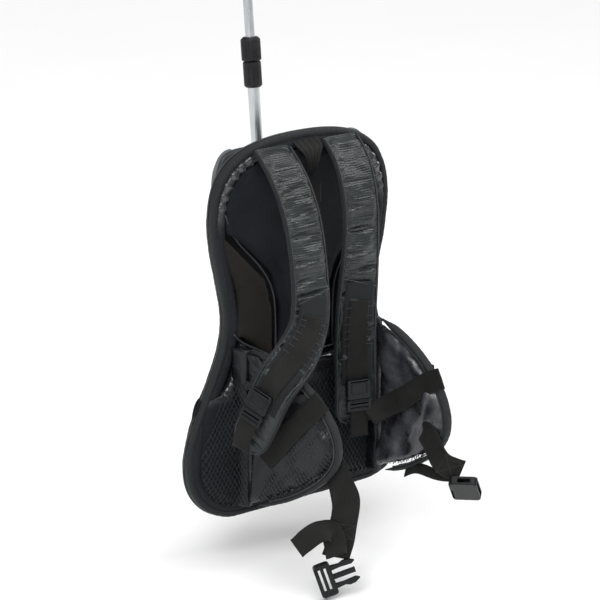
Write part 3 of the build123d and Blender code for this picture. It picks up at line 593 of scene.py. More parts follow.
strap_lining = cloth_material(
    "strap_lining", (0.005, 0.0055, 0.006), (0.013, 0.014, 0.015), 0.7, 0.0016, 0.00018, shine=0.2
)
webbing = webbing_material("woven_webbing", (0.004, 0.004, 0.0037), (0.017, 0.016, 0.0155))
net_cord = cloth_material(
    "net_cord", (0.004, 0.005, 0.007), (0.014, 0.018, 0.022), 0.30, 0.0008, 0.00006, 0.02, shine=0.35
)
thread = cloth_material(
    "sewing_thread", (0.020, 0.021, 0.021), (0.055, 0.058, 0.056), 0.5, 0.0006, 0.00004, shine=0.3
)
buckle_black = plastic_material("buckle_plastic", (0.004, 0.0045, 0.005), (0.009, 0.010, 0.012), 0.30, 0.22)
holder_black = plastic_material("holder_plastic", (0.006, 0.006, 0.007), (0.014, 0.014, 0.016), 0.40, 0.25)
rubber = plastic_material("pad_rubber", (0.008, 0.008, 0.008), (0.016, 0.016, 0.016), 0.72, 0.2)
aluminium = metal_material("tube_aluminium", (0.46, 0.48, 0.50), (0.70, 0.72, 0.735), 0.32, (1, 1, 0.02))
steel = metal_material("screw_steel", (0.40, 0.40, 0.41), (0.58, 0.58, 0.59), 0.28, (1, 1, 1))
brass = metal_material("insert_brass", (0.50, 0.34, 0.14), (0.74, 0.54, 0.25), 0.30, (1, 1, 1))

slot_materials = {
    "pad_fabric": mesh_black,
    "mesh_fabric": net_cord,
    "foam": backing_cloth,
    "stiff_sheet": holder_black,
    "cover_fabric": cover_nylon,
    "binding_tape": binding_cloth,
    "strap_fabric": strap_cloth,
    "wing_nylon": nylon,
    "webbing": webbing,
    "buckle_plastic": buckle_black,
    "holder_plastic": holder_black,
    "tube_aluminium": aluminium,
    "screw_steel": steel,
    "insert_brass": brass,
    "pad_rubber": rubber,
}


def finish_piece(obj, material, body, slot, *replaced):
    """Gives a new piece its material and body, and hides the CAD nodes that it stands for. slot is not used.
    """
    obj.data.materials.clear()
    obj.data.materials.append(material)
    if body is not None:
        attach(obj, body)
    if replaced:
        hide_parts(*replaced)
    return obj


# ------------------------------------------------------------ panel outline
def pear(margin=0.0, step=3.0):
    """The panel's outline moved inwards by margin, clockwise from the top middle, as (x, z)."""
    top, bottom = panel_top - margin, panel_bottom + margin
    shoulder, waist, flare = shoulder_half - margin, waist_half - margin, flare_half - margin
    radius_x, radius_z = corner_x - margin, corner_z - margin
    knots = [
        (0, top),
        (0.40 * shoulder, top - 4),
        (0.85 * shoulder, top - 33),
        (shoulder, top - 101),
        (waist, 0),
        (waist + 0.44 * (flare - waist), -74),
        (flare, bottom + radius_z),
    ]
    side = spline(knots, 2.0, (1, 0), (0, -1))
    angle = np.linspace(0, math.pi / 2, 30)[1:]
    corner = np.column_stack([
        flare - radius_x + radius_x * np.cos(angle),
        bottom + radius_z - radius_z * np.sin(angle),
    ])
    half = np.vstack([side, corner, [[0, bottom]]])
    left = half[1:-1][::-1] * np.array([-1, 1])
    return resample(np.vstack([half, left]), step, closed=True)


def pear_path(margin, y, step=3.0):
    flat = pear(margin, step)
    return np.column_stack([flat[:, 0], np.full(len(flat), y), flat[:, 1]])


def outline_gap(points, margin=0.0):
    """Each point's distance inside the outline, and how far round it lies."""
    outline = pear(margin, 4.0)
    flat = points[:, [0, 2]]
    gap = np.empty(len(flat))
    near = np.empty(len(flat), int)
    for start in range(0, len(flat), 4000):
        part = flat[start:start + 4000]
        away = np.linalg.norm(part[:, None] - outline[None], axis=2)
        near[start:start + 4000] = away.argmin(1)
        gap[start:start + 4000] = away.min(1)
    return gap, near * 4.0


# ------------------------------------------------------------ panel
upper_pad = soft_copy("upper_pad", "upper_back_pad", 5.0, 1.2)
lower_pads = soft_copy("lower_pads", "lower_back_pads", 5.0, 1.2)
lumbar_pad = soft_copy("lumbar_cushion", "lumbar_pad", 5.0, 1.2)
backing = soft_copy("panel_backing", "panel_core", 6.0, 0.2)
cover = soft_copy("rear_shell", "rear_cover", 6.0, 0.6)
wing_pads = {}
for side in ("left", "right"):
    wing_pads[side] = soft_copy(f"wing_pad_{side}", f"hip_wing_{side}", 5.0, 1.0)


# ------------------------------------------------------------ shoulder straps
strap_stations = {
    "left": [
        ((-57, -9, 249), (0, -0.8, 0.6)),
        ((-57, -21, 240), (0, -0.7, 0.7)),
        ((-56, -50, 210), (0, -1, 0.4)),
        ((-54, -78, 150), (0, -1, 0.1)),
        ((-54, -90, 85), (0, -1, 0)),
        ((-60, -97, 30), (-0.15, -1, 0)),
        ((-87, -108, -3), (-0.45, -0.88, 0.1)),
        ((-123, -105, -45), (-0.9, -0.42, 0.2)),
        ((-136, -90, -90), (-0.96, -0.27, 0.15)),
        ((-147, -72, -132), (-0.96, -0.27, 0.1)),
    ],
    "right": [
        ((57, -9, 249), (0, -0.8, 0.6)),
        ((57, -21, 240), (0, -0.7, 0.7)),
        ((56, -46, 210), (0, -1, 0.4)),
        ((55, -62, 150), (0, -1, 0.1)),
        ((52, -64, 85), (-0.1, -1, 0)),
        ((50, -61, 30), (-0.25, -1, 0)),
        ((51, -57, -20), (-0.35, -1, 0)),
        ((54, -54, -70), (-0.4, -1, 0)),
        ((58, -50, -112), (-0.4, -1, 0)),
        ((60, -46, -150), (-0.4, -1, 0)),
    ],
}
strap_half = 27.5
strap_tip_length = 26.0


def strap_taper(lengths):
    """How near each place is to the strap's rounded tip, and its share of the full width."""
    tip = np.clip((lengths[-1] - lengths) / strap_tip_length, 0, 1)
    return tip, 0.45 + 0.55 * np.sqrt(1 - (1 - tip) ** 2)


def strap_line(side, step=2.6):
    """The strap's smooth middle line and its outward directions."""
    path, outward = turning_path(strap_stations[side], step)
    lengths = np.concatenate([[0], np.cumsum(np.linalg.norm(np.diff(path, axis=0), axis=1))])
    even = np.linspace(0, lengths[-1], int(lengths[-1] / step) + 1)
    return at_lengths(even, lengths, path), unit(at_lengths(even, lengths, outward)), even


strap_lines = {side: strap_line(side) for side in ("left", "right")}
strap_bodies = {}
strap_jobs = []
for side in ("left", "right"):
    path, outward, lengths = strap_lines[side]
    ring_points = 44
    ring = rounded(2 * strap_half, 9.0, ring_points, 3.2)
    section = np.repeat(ring[None], len(path), 0)
    tip, narrow = strap_taper(lengths)
    root = 0.35 + 0.65 * smoothstep(lengths, 4, 40)
    section[..., 0] *= narrow[:, None]
    section[..., 1] *= (root * (0.6 + 0.4 * tip))[:, None]
    obj = sweep(f"strap_body_{side}", path, outward, section)
    count = len(path)
    edge = np.abs(ring[:, 0]) > strap_half * 0.94
    pinned = np.tile(edge, count)
    pinned[:ring_points * 3] = True
    pinned[-ring_points * 2:] = True
    strap_bodies[side] = (obj, section, count)
    strap_jobs.append((obj, 5.0, 5.0, pinned))

inflate(
    [
        (upper_pad, 4.0, 6.0, None),
        (lower_pads, 4.0, 5.0, None),
        (lumbar_pad, 4.0, 6.0, None),
        (cover, 2.0, 3.0, None),
        (wing_pads["left"], 4.0, 5.0, None),
        (wing_pads["right"], 4.0, 5.0, None),
        *strap_jobs,
    ]
)

# Pads: flat on the backing, puffed in front, folds where the nylon is gathered to the binding.
front_limit = {"upper_pad": -15.0, "lower_pads": -14.0, "lumbar_cushion": -15.0}
for obj in (upper_pad, lower_pads, lumbar_pad):
    subdivide(obj)
    points = points_of(obj)
    face = smoothstep(-points[:, 1], 2.0, 8.0)
    gap, round_it = outline_gap(points, 13.0)
    edge = 1 - smoothstep(gap, 3.0, 30.0)
    gloss = np.zeros(len(points))
    lift = 0.9 * waves(points, 60, 3) + 0.25 * waves(points, 18, 4)
    if obj is upper_pad:
        corner = smoothstep(points[:, 2], 120, 165) * smoothstep(np.abs(points[:, 0]), 78, 96)
        rows = np.sin(round_it / 17.0 * 2 * math.pi + 0.8 * waves(points, 40, 5))
        lift = lift + corner * edge * 0.8 * signed_power(rows, 0.7)
    if obj is lumbar_pad:
        ruffle = smoothstep(points[:, 2], -96, -74) * (1 - smoothstep(points[:, 2], -12, 6))
        wave = points[:, 2] / 9.0 + 0.9 * waves(points, 38, 6) + points[:, 0] * 0.02
        folds = np.sin(wave * 2 * math.pi) * (0.6 + 0.4 * waves(points, 30, 7))
        lift = lift + ruffle * (1.7 * folds + 0.8)
        gloss = ruffle
    points[:, 1] -= face * lift
    off_strap = smoothstep(np.abs(np.abs(points[:, 0]) - 57), 26, 36)
    under_strap = smoothstep(points[:, 2], 226, 240) * (1 - off_strap)
    points[:, 1] = np.maximum(points[:, 1], front_limit[obj.name] + 9.0 * under_strap)
    points[:, 1] = np.minimum(points[:, 1], -0.2)
    move_points(obj, points)
    set_grain(obj, np.column_stack([points[:, 2], points[:, 0], gloss]))


def two_cloths(name, plain, glossy_colour, plain_roughness, glossy_roughness):
    """Woven cloth that turns to glossy nylon where the gloss share is 1."""
    graph = Graph(name, plain[1], plain_roughness)
    along, across, gloss = graph.grain()
    weave = plain_weave(graph, along, across, 0.0017)
    patches = graph.noise(24, 4)
    mixed = graph.math("MULTIPLY_ADD", weave, 0.12, patches)
    woven = graph.mix(graph.ramp(mixed, 0, 1, 0.3, 0.9), (*plain[0], 1), (*plain[1], 1))
    colour = graph.mix(gloss, woven, (*glossy_colour, 1))
    graph.tree.links.new(colour, graph.shader.inputs["Base Color"])
    rough = graph.math("MULTIPLY_ADD", gloss, glossy_roughness - plain_roughness, plain_roughness)
    low_rough = graph.math("SUBTRACT", rough, 0.05)
    graph.vary_roughness(graph.math("MULTIPLY_ADD", graph.noise(60, 3), 0.10, low_rough))
    matt = graph.math("SUBTRACT", 1.0, gloss)
    shine = graph.math("MULTIPLY_ADD", gloss, 0.5, 0.12)
    graph.tree.links.new(shine, graph.shader.inputs["Specular IOR Level"])
    folds = graph.math("MULTIPLY", graph.noise(45, 3, distortion=1.0), graph.math("ADD", gloss, 0.25))
    graph.bump([(folds, 0.0011), (graph.math("MULTIPLY", weave, matt), 0.00020)])
    graph.sheen(0.03, 0.5, (0.8, 0.9, 1.0))
    return graph.material


upper_cloth = two_cloths(
    "upper_pad_cloth", ((0.004, 0.005, 0.007), (0.010, 0.012, 0.016)), (0.030, 0.030, 0.034), 0.70, 0.20
)
lumbar_cloth = two_cloths(
    "lumbar_cloth", ((0.004, 0.005, 0.007), (0.010, 0.012, 0.015)), (0.009, 0.009, 0.012), 0.66, 0.26
)
finish_piece(upper_pad, upper_cloth, "harness", "pad_fabric", "upper_back_pad")
finish_piece(lower_pads, pad_cloth, "harness", "pad_fabric", "lower_back_pads")
finish_piece(lumbar_pad, lumbar_cloth, "harness", "pad_fabric", "lumbar_pad")

# Backing: the cloth-covered foam core that shows between the pads.
points = points_of(backing)
points[:, 1] += smoothstep(4 - points[:, 1], 0, 4) * (0.3 * waves(points, 22, 11) + 0.35)
points[:, 1] = np.clip(points[:, 1], -0.1, 8.0)
move_points(backing, points)
set_grain(backing, points[:, [2, 0]])
finish_piece(backing, backing_cloth, "harness", "foam", "panel_core")

# Rear shell: padded nylon cover with shallow quilted channels.
quilt_x = {"left": -75, "right": 75}


def quilt_line(side, heights):
    """How far across the sewn channel lies at each height."""
    x = quilt_x[side]
    return x + np.sign(x) * 14 * smoothstep(-heights, 20, 200)


subdivide(cover)
points = points_of(cover)
rear = smoothstep(points[:, 1], 17, 23)
channel = np.zeros(len(points))
for side in quilt_x:
    channel += np.exp(-(((points[:, 0] - quilt_line(side, points[:, 2])) / 4.5) ** 2))
crown = 1.2 * np.exp(-((np.abs(points[:, 0]) - 112) / 22) ** 2)
points[:, 1] += rear * (crown - 3.0 * channel + 0.35 * waves(points, 40, 12))
points[:, 1] = np.clip(points[:, 1], 10.2, 27.0)
under_plates = (np.abs(points[:, 0]) < 36) & (points[:, 1] > 24.8)
points[under_plates, 1] = 24.8
move_points(cover, points)
set_grain(cover, points[:, [2, 0]])
finish_piece(cover, cover_nylon, "harness", "cover_fabric", "rear_cover")
for side in quilt_x:
    heights = np.arange(-215.0, 225.0, 4.0)
    line = np.column_stack([quilt_line(side, heights), np.full(len(heights), 22.9), heights])
    row = stitch_row(f"rear_stitches_{side}", line, (0, 1, 0))
    finish_piece(row, thread, "harness", "cover_fabric")

# Light edging round the rear shell.
shell = points_of(nodes["rear_cover"])
rim = shell[shell[:, 1] < 10.2]
rim = rim[np.linalg.norm(rim[:, [0, 2]] / np.array([1, 1.3]), axis=1) > 60]
turn = np.arctan2(rim[:, 0], rim[:, 2] + 40)
rim = resample(rim[np.argsort(turn)], 3.0, closed=True)
rim[:, 1] = 19.6
edging = sweep("rear_shell_edging", rim, FRONT, rounded(3.4, 7.0, 16, 2.6), True, wavy(0.25, 24, 16))
finish_piece(edging, edging_cloth, "harness", "cover_fabric")

# Bindings: two padded rolls with piping between them and on the inner edge.
def roll_bump(points, grain):
    pulls = 0.32 * np.abs(np.sin(grain[:, 0] / 9.0 * math.pi + waves(points, 50, 13))) - 0.16
    return pulls + 0.28 * waves(points, 26, 14)


front_roll = sweep(
    "front_binding_roll", pear_path(4.6, -0.8), (0, -1, 0), rounded(9.6, 12.4, 28, 2.7), True, roll_bump
)
finish_piece(front_roll, binding_cloth, "harness", "binding_tape", "front_binding")
rear_roll = sweep(
    "rear_binding_roll", pear_path(7.8, 10.4), (0, -1, 0), rounded(9.0, 9.0, 28, 2.6), True, roll_bump
)
finish_piece(rear_roll, binding_cloth, "harness", "binding_tape", "rear_binding")
edge_piping = sweep("edge_piping", pear_path(0.4, 5.6, 2.5), (0, -1, 0), rounded(2.6, 2.6, 12, 2), True)
finish_piece(edge_piping, piping_cloth, "harness", "binding_tape")
inner_piping = sweep("inner_piping", pear_path(10.4, -4.6, 2.5), (0, -1, 0), rounded(2.0, 2.0, 10, 2), True)
finish_piece(inner_piping, piping_cloth, "harness", "binding_tape")
binding_stitches = stitch_row("binding_stitches", pear_path(7.6, -7.2), (0, -1, 0), 2.8, 1.6, 0.6)
finish_piece(binding_stitches, thread, "harness", "binding_tape")


# Piped seams between the pads.
def mirrored_seam(name, knots, depth, thick):
    """Piping along a seam on both halves of the panel."""
    side = spline(np.array(knots, float), 3.0)
    for label, s in side_sign.items():
        path = np.column_stack([-s * side[:, 0], np.full(len(side), depth), side[:, 1]])
        cord = sweep(f"{name}_{label}", path, (0, -1, 0), rounded(thick, thick, 10, 2))
        finish_piece(cord, piping_cloth, "harness", "pad_fabric")


mirrored_seam(
    "upper_seam_piping",
    [(-131, 168), (-118, 138), (-88, 103), (-66, 76), (-53, 48), (-49.5, 20), (-49.5, -42)],
    -9.0,
    2.2,
)
mirrored_seam("lower_seam_piping", [(-119, 2), (-111, -7), (-84, -24), (-50, -45)], -9.6, 2.4)
mirrored_seam("middle_seam_piping", [(-50, -45.5), (-25, -45.5), (0, -45.5)], -9.2, 2.2)

# Gathered nylon between the binding and the pads.
def gather_bump(points, grain):
    corner = smoothstep(points[:, 2], 150, 190) * smoothstep(np.abs(points[:, 0]), 60, 90)
    phase = grain[:, 0] / 15.5 * 2 * math.pi + 1.1 * waves(points, 60, 15)
    rows = np.sin(phase)
    fine = np.sin(phase * 2.3 + 1.0)
    return (0.2 + 1.1 * corner) * signed_power(rows, 0.6) + (0.15 + 0.35 * corner) * fine


edge_line = pear_path(14.5, -3.6, 1.6)
gather = sweep("edge_gathers", edge_line, (0, -1, 0), rounded(13.0, 9.0, 26, 2.2), True, gather_bump)
points = points_of(gather)
corner = smoothstep(points[:, 2], 140, 180) * smoothstep(np.abs(points[:, 0]), 60, 85)
grain = np.column_stack([points[:, 2], points[:, 0], 0.1 + 0.9 * corner])
set_grain(gather, grain)
finish_piece(gather, upper_cloth, "harness", "pad_fabric")

# ------------------------------------------------------------ nets
def lattice(name, place, outline, cell, thick, seed):
    """A net of round cords: outline holds flat corners, place turns flat points into points on the cloth."""
    low, high = outline.min(0), outline.max(0)
    pieces, faces, points = [], [], []
    section = rounded(thick, thick, 6, 2)
    rng = np.random.default_rng(seed)
    rows = int((high[1] - low[1]) / cell) + 2
    for lean in (-1, 1):
        reach = high[1] - low[1]
        for number in range(-int(reach / cell) - 2, int((high[0] - low[0] + reach) / cell) + 2):
            steps = np.arange(0, rows * 2 + 1)
            v = low[1] + steps * cell / 2
            start = low[0] + number * cell if lean > 0 else low[0] + number * cell
            u = start + lean * steps * cell / 2 * 0.62 + rng.normal(0, 0.12, len(steps))
            line = resample(np.column_stack([u, v]), cell / 3)
            inside = polygon_holds(outline, line)
            edges = np.flatnonzero(np.diff(np.concatenate([[0], inside.astype(int), [0]])))
            for first, last in zip(edges[::2], edges[1::2]):
                if last - first > 3:
                    pieces.append(line[first:last])
    for line in pieces:
        path, outward = place(line)
        phase = (line[:, 0] * 0.62 + line[:, 1]) / cell * 2 * math.pi
        path = path + outward * (0.35 * np.sin(phase))[:, None]
        along, across, out = path_frames(path, outward)
        base = len(points)
        ring = len(section)
        for p, c, o in zip(path, across, out):
            points.extend(p + section[:, :1] * c + section[:, 1:] * o)
        faces += ring_faces(len(path), ring, base)
    return make_piece(name, np.array(points), faces, np.array(points)[:, [2, 0]])


def polygon_holds(polygon, points):
    """Which points lie inside a flat polygon."""
    x, y = points[:, 0], points[:, 1]
    inside = np.zeros(len(points), bool)
    ahead = np.roll(polygon, -1, 0)
    for (x1, y1), (x2, y2) in zip(polygon, ahead):
        crosses = (y1 > y) != (y2 > y)
        if y1 != y2:
            inside ^= crosses & (x < (x2 - x1) * (y - y1) / (y2 - y1) + x1)
    return inside


def height_field(obj, axis_u, axis_v, outward, cell=4.0):
    points = points_of(obj)
    u, v, w = points @ axis_u, points @ axis_v, points @ outward
    low_u, low_v = u.min() - cell, v.min() - cell
    columns, rows = int((u.max() - low_u) / cell) + 3, int((v.max() - low_v) / cell) + 3
    field = np.full((columns, rows), -1e9)
    np.maximum.at(field, (((u - low_u) / cell).astype(int), ((v - low_v) / cell).astype(int)), w)
    for _ in range(6):
        empty = field < -1e8
        if not empty.any():
            break
        spread = np.max([np.roll(field, s, a) for a in (0, 1) for s in (-1, 1)], 0)
        field[empty] = spread[empty]

    def look(pu, pv):
        fu = np.clip((pu - low_u) / cell - 0.5, 0, columns - 1.001)
        fv = np.clip((pv - low_v) / cell - 0.5, 0, rows - 1.001)
        i, j = fu.astype(int), fv.astype(int)
        a, b = fu - i, fv - j
        i1, j1 = np.minimum(i + 1, columns - 1), np.minimum(j + 1, rows - 1)
        total = (1 - a) * (1 - b) * field[i, j] + a * (1 - b) * field[i1, j]
        return total + (1 - a) * b * field[i, j1] + a * b * field[i1, j1]

    return look


lumbar_height = height_field(lumbar_pad, np.array([1.0, 0, 0]), UP, FRONT)


def on_lumbar(flat):
    out = lumbar_height(flat[:, 0], flat[:, 1]) + 0.7
    path = np.column_stack([flat[:, 0], -out, flat[:, 1]])
    return path, np.broadcast_to(FRONT, path.shape)


inner = pear(17.0, 6.0)
net_area = inner[inner[:, 1] < -72]
lumbar_net = lattice("lumbar_net", on_lumbar, net_area, 7.0, 1.1, 21)
finish_piece(lumbar_net, net_cord, "harness", "mesh_fabric")


# ------------------------------------------------------------ hip wings
def wing_axes(side):
    s, angle = side_sign[side], wing_angle[side]
    forward = np.array([-s * math.sin(angle), -math.cos(angle), 0])
    outward = np.array([s * math.cos(angle), -math.sin(angle), 0])
    return np.array([s * wing_root_x, wing_root_y, 0.0]), forward, outward


def wing_place(side, forward_by, height, outward_by):
    root, forward, outward = wing_axes(side)
    forward_by, height, outward_by = np.broadcast_arrays(np.asarray(forward_by, float), height, outward_by)
    return root + forward_by[..., None] * forward + height[..., None] * UP + outward_by[..., None] * outward


def wing_rim(side):
    """The CAD wing's own outline as (forward, height), in order round it from the top of its root."""
    root, forward, outward = wing_axes(side)
    rel = points_of(nodes[f"hip_wing_{side}"]) - root
    flat = np.column_stack([rel @ forward, rel[:, 2]])[rel @ outward > 5.3]
    middle = (flat.min(0) + flat.max(0)) / 2
    turn = np.arctan2(flat[:, 0] - middle[0], flat[:, 1] - middle[1])
    flat = flat[np.argsort(turn)]
    free = flat[flat[:, 0] > flat[:, 0].min() + 0.5]
    low = free[(free[:, 0] < middle[0]) & (free[:, 1] < middle[1])]
    rest = free[~((free[:, 0] < middle[0]) & (free[:, 1] < middle[1]))]
    low = low[np.argsort(-low[:, 0])]
    high = rest[(rest[:, 0] < middle[0]) & (rest[:, 1] > middle[1])]
    high = high[np.argsort(high[:, 0])]
    nose = rest[rest[:, 0] >= middle[0]]
    return np.vstack([high, nose, low])


def wing_edge(side, outset, step=3.0):
    """The wing's free edge, moved outwards by outset, from the top of its root round the nose to the foot."""
    line = resample(wing_rim(side), step)
    along = unit(np.gradient(line, axis=0))
    return line + np.column_stack([-along[:, 1], along[:, 0]]) * outset


for side in ("left", "right"):
    root, forward, outward = wing_axes(side)
    body = f"wing_{side}"
    pad = wing_pads[side]
    subdivide(pad)
    points = points_of(pad)
    rel = points - root
    f, h, o = rel @ forward, rel[:, 2], rel @ outward
    inner_face = smoothstep(-o, 1.0, 4.0)
    outer_face = smoothstep(o, 1.0, 4.0)
    flat = np.column_stack([f, h, 0 * f])
    pulls = 2.2 * waves(flat, 62, 31) + 0.3 * waves(flat, 24, 32)
    pucker_band = np.exp(-(((h + 92 - 0.35 * f) / 34) ** 2))
    puckers = pucker_band * np.sin((f * 0.4 + h) / 5.5 + 1.5 * waves(points, 60, 33))
    ruffles = smoothstep(h, -70, -50) * np.sin((h + 0.3 * f) / 2.1 + 1.3 * waves(points, 40, 37))
    lift = inner_face * (pulls + 1.1 * puckers) - outer_face * (0.5 * waves(points, 30, 34) + 0.9 * ruffles)
    points = points - outward * lift[:, None]
    move_points(pad, points)
    set_grain(pad, np.column_stack([f, h]))
    finish_piece(pad, nylon, body, "wing_nylon", f"hip_wing_{side}")
    # Faces turned inwards take the lighter nylon copy: its light colour is painted reflection on the wing's
    # inner face.
    pad.data.materials.append(painted_reflection_nylon)
    for polygon in pad.data.polygons:
        polygon.material_index = int(Vector(outward).dot(polygon.normal) < -0.2)

    edge = wing_edge(side, 2.4)
    path = wing_place(side, edge[:, 0], edge[:, 1], 0.0)
    section = np.repeat(rounded(6.4, 13.4, 20, 2.6)[None], len(path), 0)
    ends = np.minimum(np.arange(len(path)), np.arange(len(path))[::-1])
    section *= (0.35 + 0.65 * smoothstep(ends, 0, 9))[:, None, None]
    roll = sweep(f"wing_binding_roll_{side}", path, outward, section, False, roll_bump)
    finish_piece(roll, binding_cloth, body, "binding_tape", f"wing_binding_{side}")
    for number, out_by in enumerate((-6.0, 6.0)):
        edge = wing_edge(side, -1.4)
        path = wing_place(side, edge[:, 0], edge[:, 1], out_by)[8:-8]
        cord = sweep(f"wing_piping_{side}_{number}", path, outward, rounded(2.0, 2.0, 10, 2))
        finish_piece(cord, piping_cloth, body, "binding_tape")

    surface = height_field(pad, forward, UP, outward)

    def on_wing(flat, side=side, root=root, forward=forward, outward=outward, surface=surface):
        absolute = surface(flat[:, 0] + root @ forward, flat[:, 1]) - root @ outward
        out_by = np.clip(absolute + 0.7, 5.0, 9.5)
        path = wing_place(side, flat[:, 0], flat[:, 1], out_by)
        return path, np.broadcast_to(outward, path.shape)

    area = wing_edge(side, -3.0, 6.0)
    area = area[area[:, 1] < -58]
    net = lattice(f"wing_net_{side}", on_wing, area, 7.0, 1.15, 22)
    finish_piece(net, net_cord, body, "mesh_fabric", f"wing_mesh_{side}")
    hem_u = np.linspace(10, 118, 40)
    hem_v = np.full(40, -60.0) - 6 * np.sin(hem_u / 118 * math.pi)
    path, out = on_wing(np.column_stack([hem_u, hem_v]))
    hem = strip(f"wing_net_hem_{side}", path + out * 0.4, out, 11.0, 1.4, 0.2, 35)
    finish_piece(hem, binding_cloth, body, "binding_tape")

    # Gusset: nylon that joins the wing's root to the panel.
    s = side_sign[side]
    heights = np.arange(-238.0, -13.0, 3.0)
    across_steps = np.linspace(0, 1, 10)
    grid, grain = [], []
    for h in heights:
        ring = []
        for out_by in (gusset_half, -gusset_half):
            end = wing_place(side, gusset_reach, h, out_by)
            start = np.array([s * (wing_root_x + (gusset_reach if out_by > 0 else -7.0)), gusset_y, h])
            for t in across_steps if out_by > 0 else across_steps[::-1]:
                bow = math.sin(t * math.pi) * (1.5 if out_by > 0 else -1.0)
                ring.append(start * (1 - t) + end * t + outward * bow)
                grain.append((h, t * 20 + out_by * 4))
        grid.extend(ring)
    grid = np.array(grid)
    grid = grid + outward * (0.7 * waves(grid, 16, 36, (1, 1, 0.5)))[:, None]
    ring = 20
    faces = ring_faces(len(heights), ring) + cap_faces(len(heights), ring)
    gusset = make_piece(f"wing_gusset_{side}", grid, faces, np.array(grain))
    finish_piece(gusset, nylon, None, "wing_nylon")
    near_panel = np.array([s * (wing_root_x + gusset_reach), gusset_y, 0.0])
    span = float(np.linalg.norm(wing_place(side, gusset_reach, 0.0, gusset_half) - near_panel))

    def on_gusset(flat, side=side, outward=outward, span=span, near_panel=near_panel):
        t = (flat[:, :1]) / span
        start = near_panel + flat[:, 1:] * UP
        end = wing_place(side, np.full(len(flat), gusset_reach), flat[:, 1], gusset_half)
        path = start * (1 - t) + end * t + outward * (1.5 * np.sin(t * math.pi) + 1.6)
        return path, np.broadcast_to(outward, path.shape)

    corners = np.array([(-1.0, -236.0), (span + 2, -236.0), (span + 2, -60.0), (-1.0, -66.0)])
    root_net = lattice(f"gusset_net_{side}", on_gusset, corners, 7.0, 1.1, 23)
    finish_piece(root_net, net_cord, None, "mesh_fabric")
    for piece in (root_net, gusset):
        tuple(wing_place(side, gusset_reach, -120, 0) * MM)
        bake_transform(piece)


# ------------------------------------------------------------ strap fabric and trim
def strap_bump(lengths, around, seed):
    """Creases across the strap, deeper towards its middle."""
    count = len(lengths)
    flat = np.column_stack([lengths, around, np.zeros(count)])
    slow = waves(flat, 30, seed, (1, 0.22, 1))
    quick = waves(flat, 13, seed + 1, (1, 0.15, 1))
    depth = 0.25 + 0.75 * smoothstep(lengths, 40, 130) * (1 - 0.5 * smoothstep(lengths, 320, 390))
    made = 0.9 * slow + 0.45 * quick
    rng = np.random.default_rng(seed)
    where = 70.0
    while where < lengths.max() - 90:
        slant, bow = rng.uniform(-0.16, 0.16), rng.uniform(-3, 3)
        centre = where + slant * around + bow * (around / strap_half) ** 2
        offset = lengths - centre
        reach = smoothstep(around * rng.choice([-1, 1]), -strap_half * 1.1, strap_half * 0.5)
        ridges = 1.5 * np.exp(-(((np.abs(offset) - 6.5) / 4.0) ** 2))
        made = made + reach * (ridges - 2.6 * np.exp(-((offset / 2.3) ** 2)))
        where += rng.uniform(19, 36)
    return 1.7 * depth * made


for side in ("left", "right"):
    path, outward, lengths = strap_lines[side]
    obj, section, count = strap_bodies[side]
    ring = section.shape[1]
    points = points_of(obj)
    along, across, out = path_frames(path, outward)
    around = np.tile(section[count // 2, :, 0], count)
    far = np.repeat(lengths, ring)
    normal = np.repeat(out, ring, 0)
    rel = ((points - np.repeat(path, ring, 0)) * normal).sum(1)
    share = 1 - smoothstep(np.abs(around), strap_half * 0.72, strap_half * 0.98)
    crease = strap_bump(far, around, 41 if side == "left" else 45)
    rel = np.clip(rel, -5.6, 5.6)
    points += normal * (np.sign(rel) * share * crease)[:, None]
    move_points(obj, points)
    set_grain(obj, np.column_stack([far, around]))
    subdivide(obj)
    finish_piece(obj, strap_cloth, "harness", "strap_fabric", f"shoulder_strap_{side}")
    total = lengths[-1]
    _tip, narrow = strap_taper(lengths)
    for number, s in enumerate((-1, 1)):
        edge = path + across * (s * (strap_half * narrow + 0.6))[:, None]
        flat = rounded(3.4, 7.0, 14, 2.4)
        bump = wavy(0.2, 14, 51)
        tape = sweep(f"strap_edge_{side}_{number}", edge[2:], outward[2:], flat, bump=bump)
        finish_piece(tape, binding_cloth, "harness", "binding_tape")
        for layer, rise in enumerate((-3.4, 3.4)):
            line = edge + out * rise - across * (s * 1.2)
            name = f"strap_piping_{side}_{number}_{layer}"
            cord = sweep(name, line[3:], outward[3:], rounded(1.5, 1.5, 8, 2))
            finish_piece(cord, piping_cloth, "harness", "binding_tape")
        row_line = path + across * (s * 22.0) + out * 6.1
        keep = (lengths > 20) & (lengths < total - 40)
        row = stitch_row(f"strap_stitches_{side}_{number}", row_line[keep], outward[keep], 2.6, 1.6, 0.6)
        finish_piece(row, thread, "harness", "strap_fabric")


def strap_strip(name, side, start, end, width, lift, skew=0.0, thickness=1.6, ripple=0.25, seed=61):
    """Webbing lying on the strap from start to end, in millimetres down it."""
    path, outward, lengths = strap_lines[side]
    along, across, out = path_frames(path, outward)
    where = np.arange(start, end, 2.5)
    centre = at_lengths(where, lengths, path)
    side_way = unit(at_lengths(where, lengths, across))
    up = unit(at_lengths(where, lengths, out))
    drift = np.linspace(0, skew, len(where))[:, None]
    return strip(name, centre + up * lift + side_way * drift, up, width, thickness, ripple, seed)


def strap_frame(side, where):
    """Centre, along, across and out at a distance down the strap."""
    path, outward, lengths = strap_lines[side]
    along, across, out = path_frames(path, outward)
    i = int(np.argmin(np.abs(lengths - where)))
    return path[i], along[i], across[i], out[i]


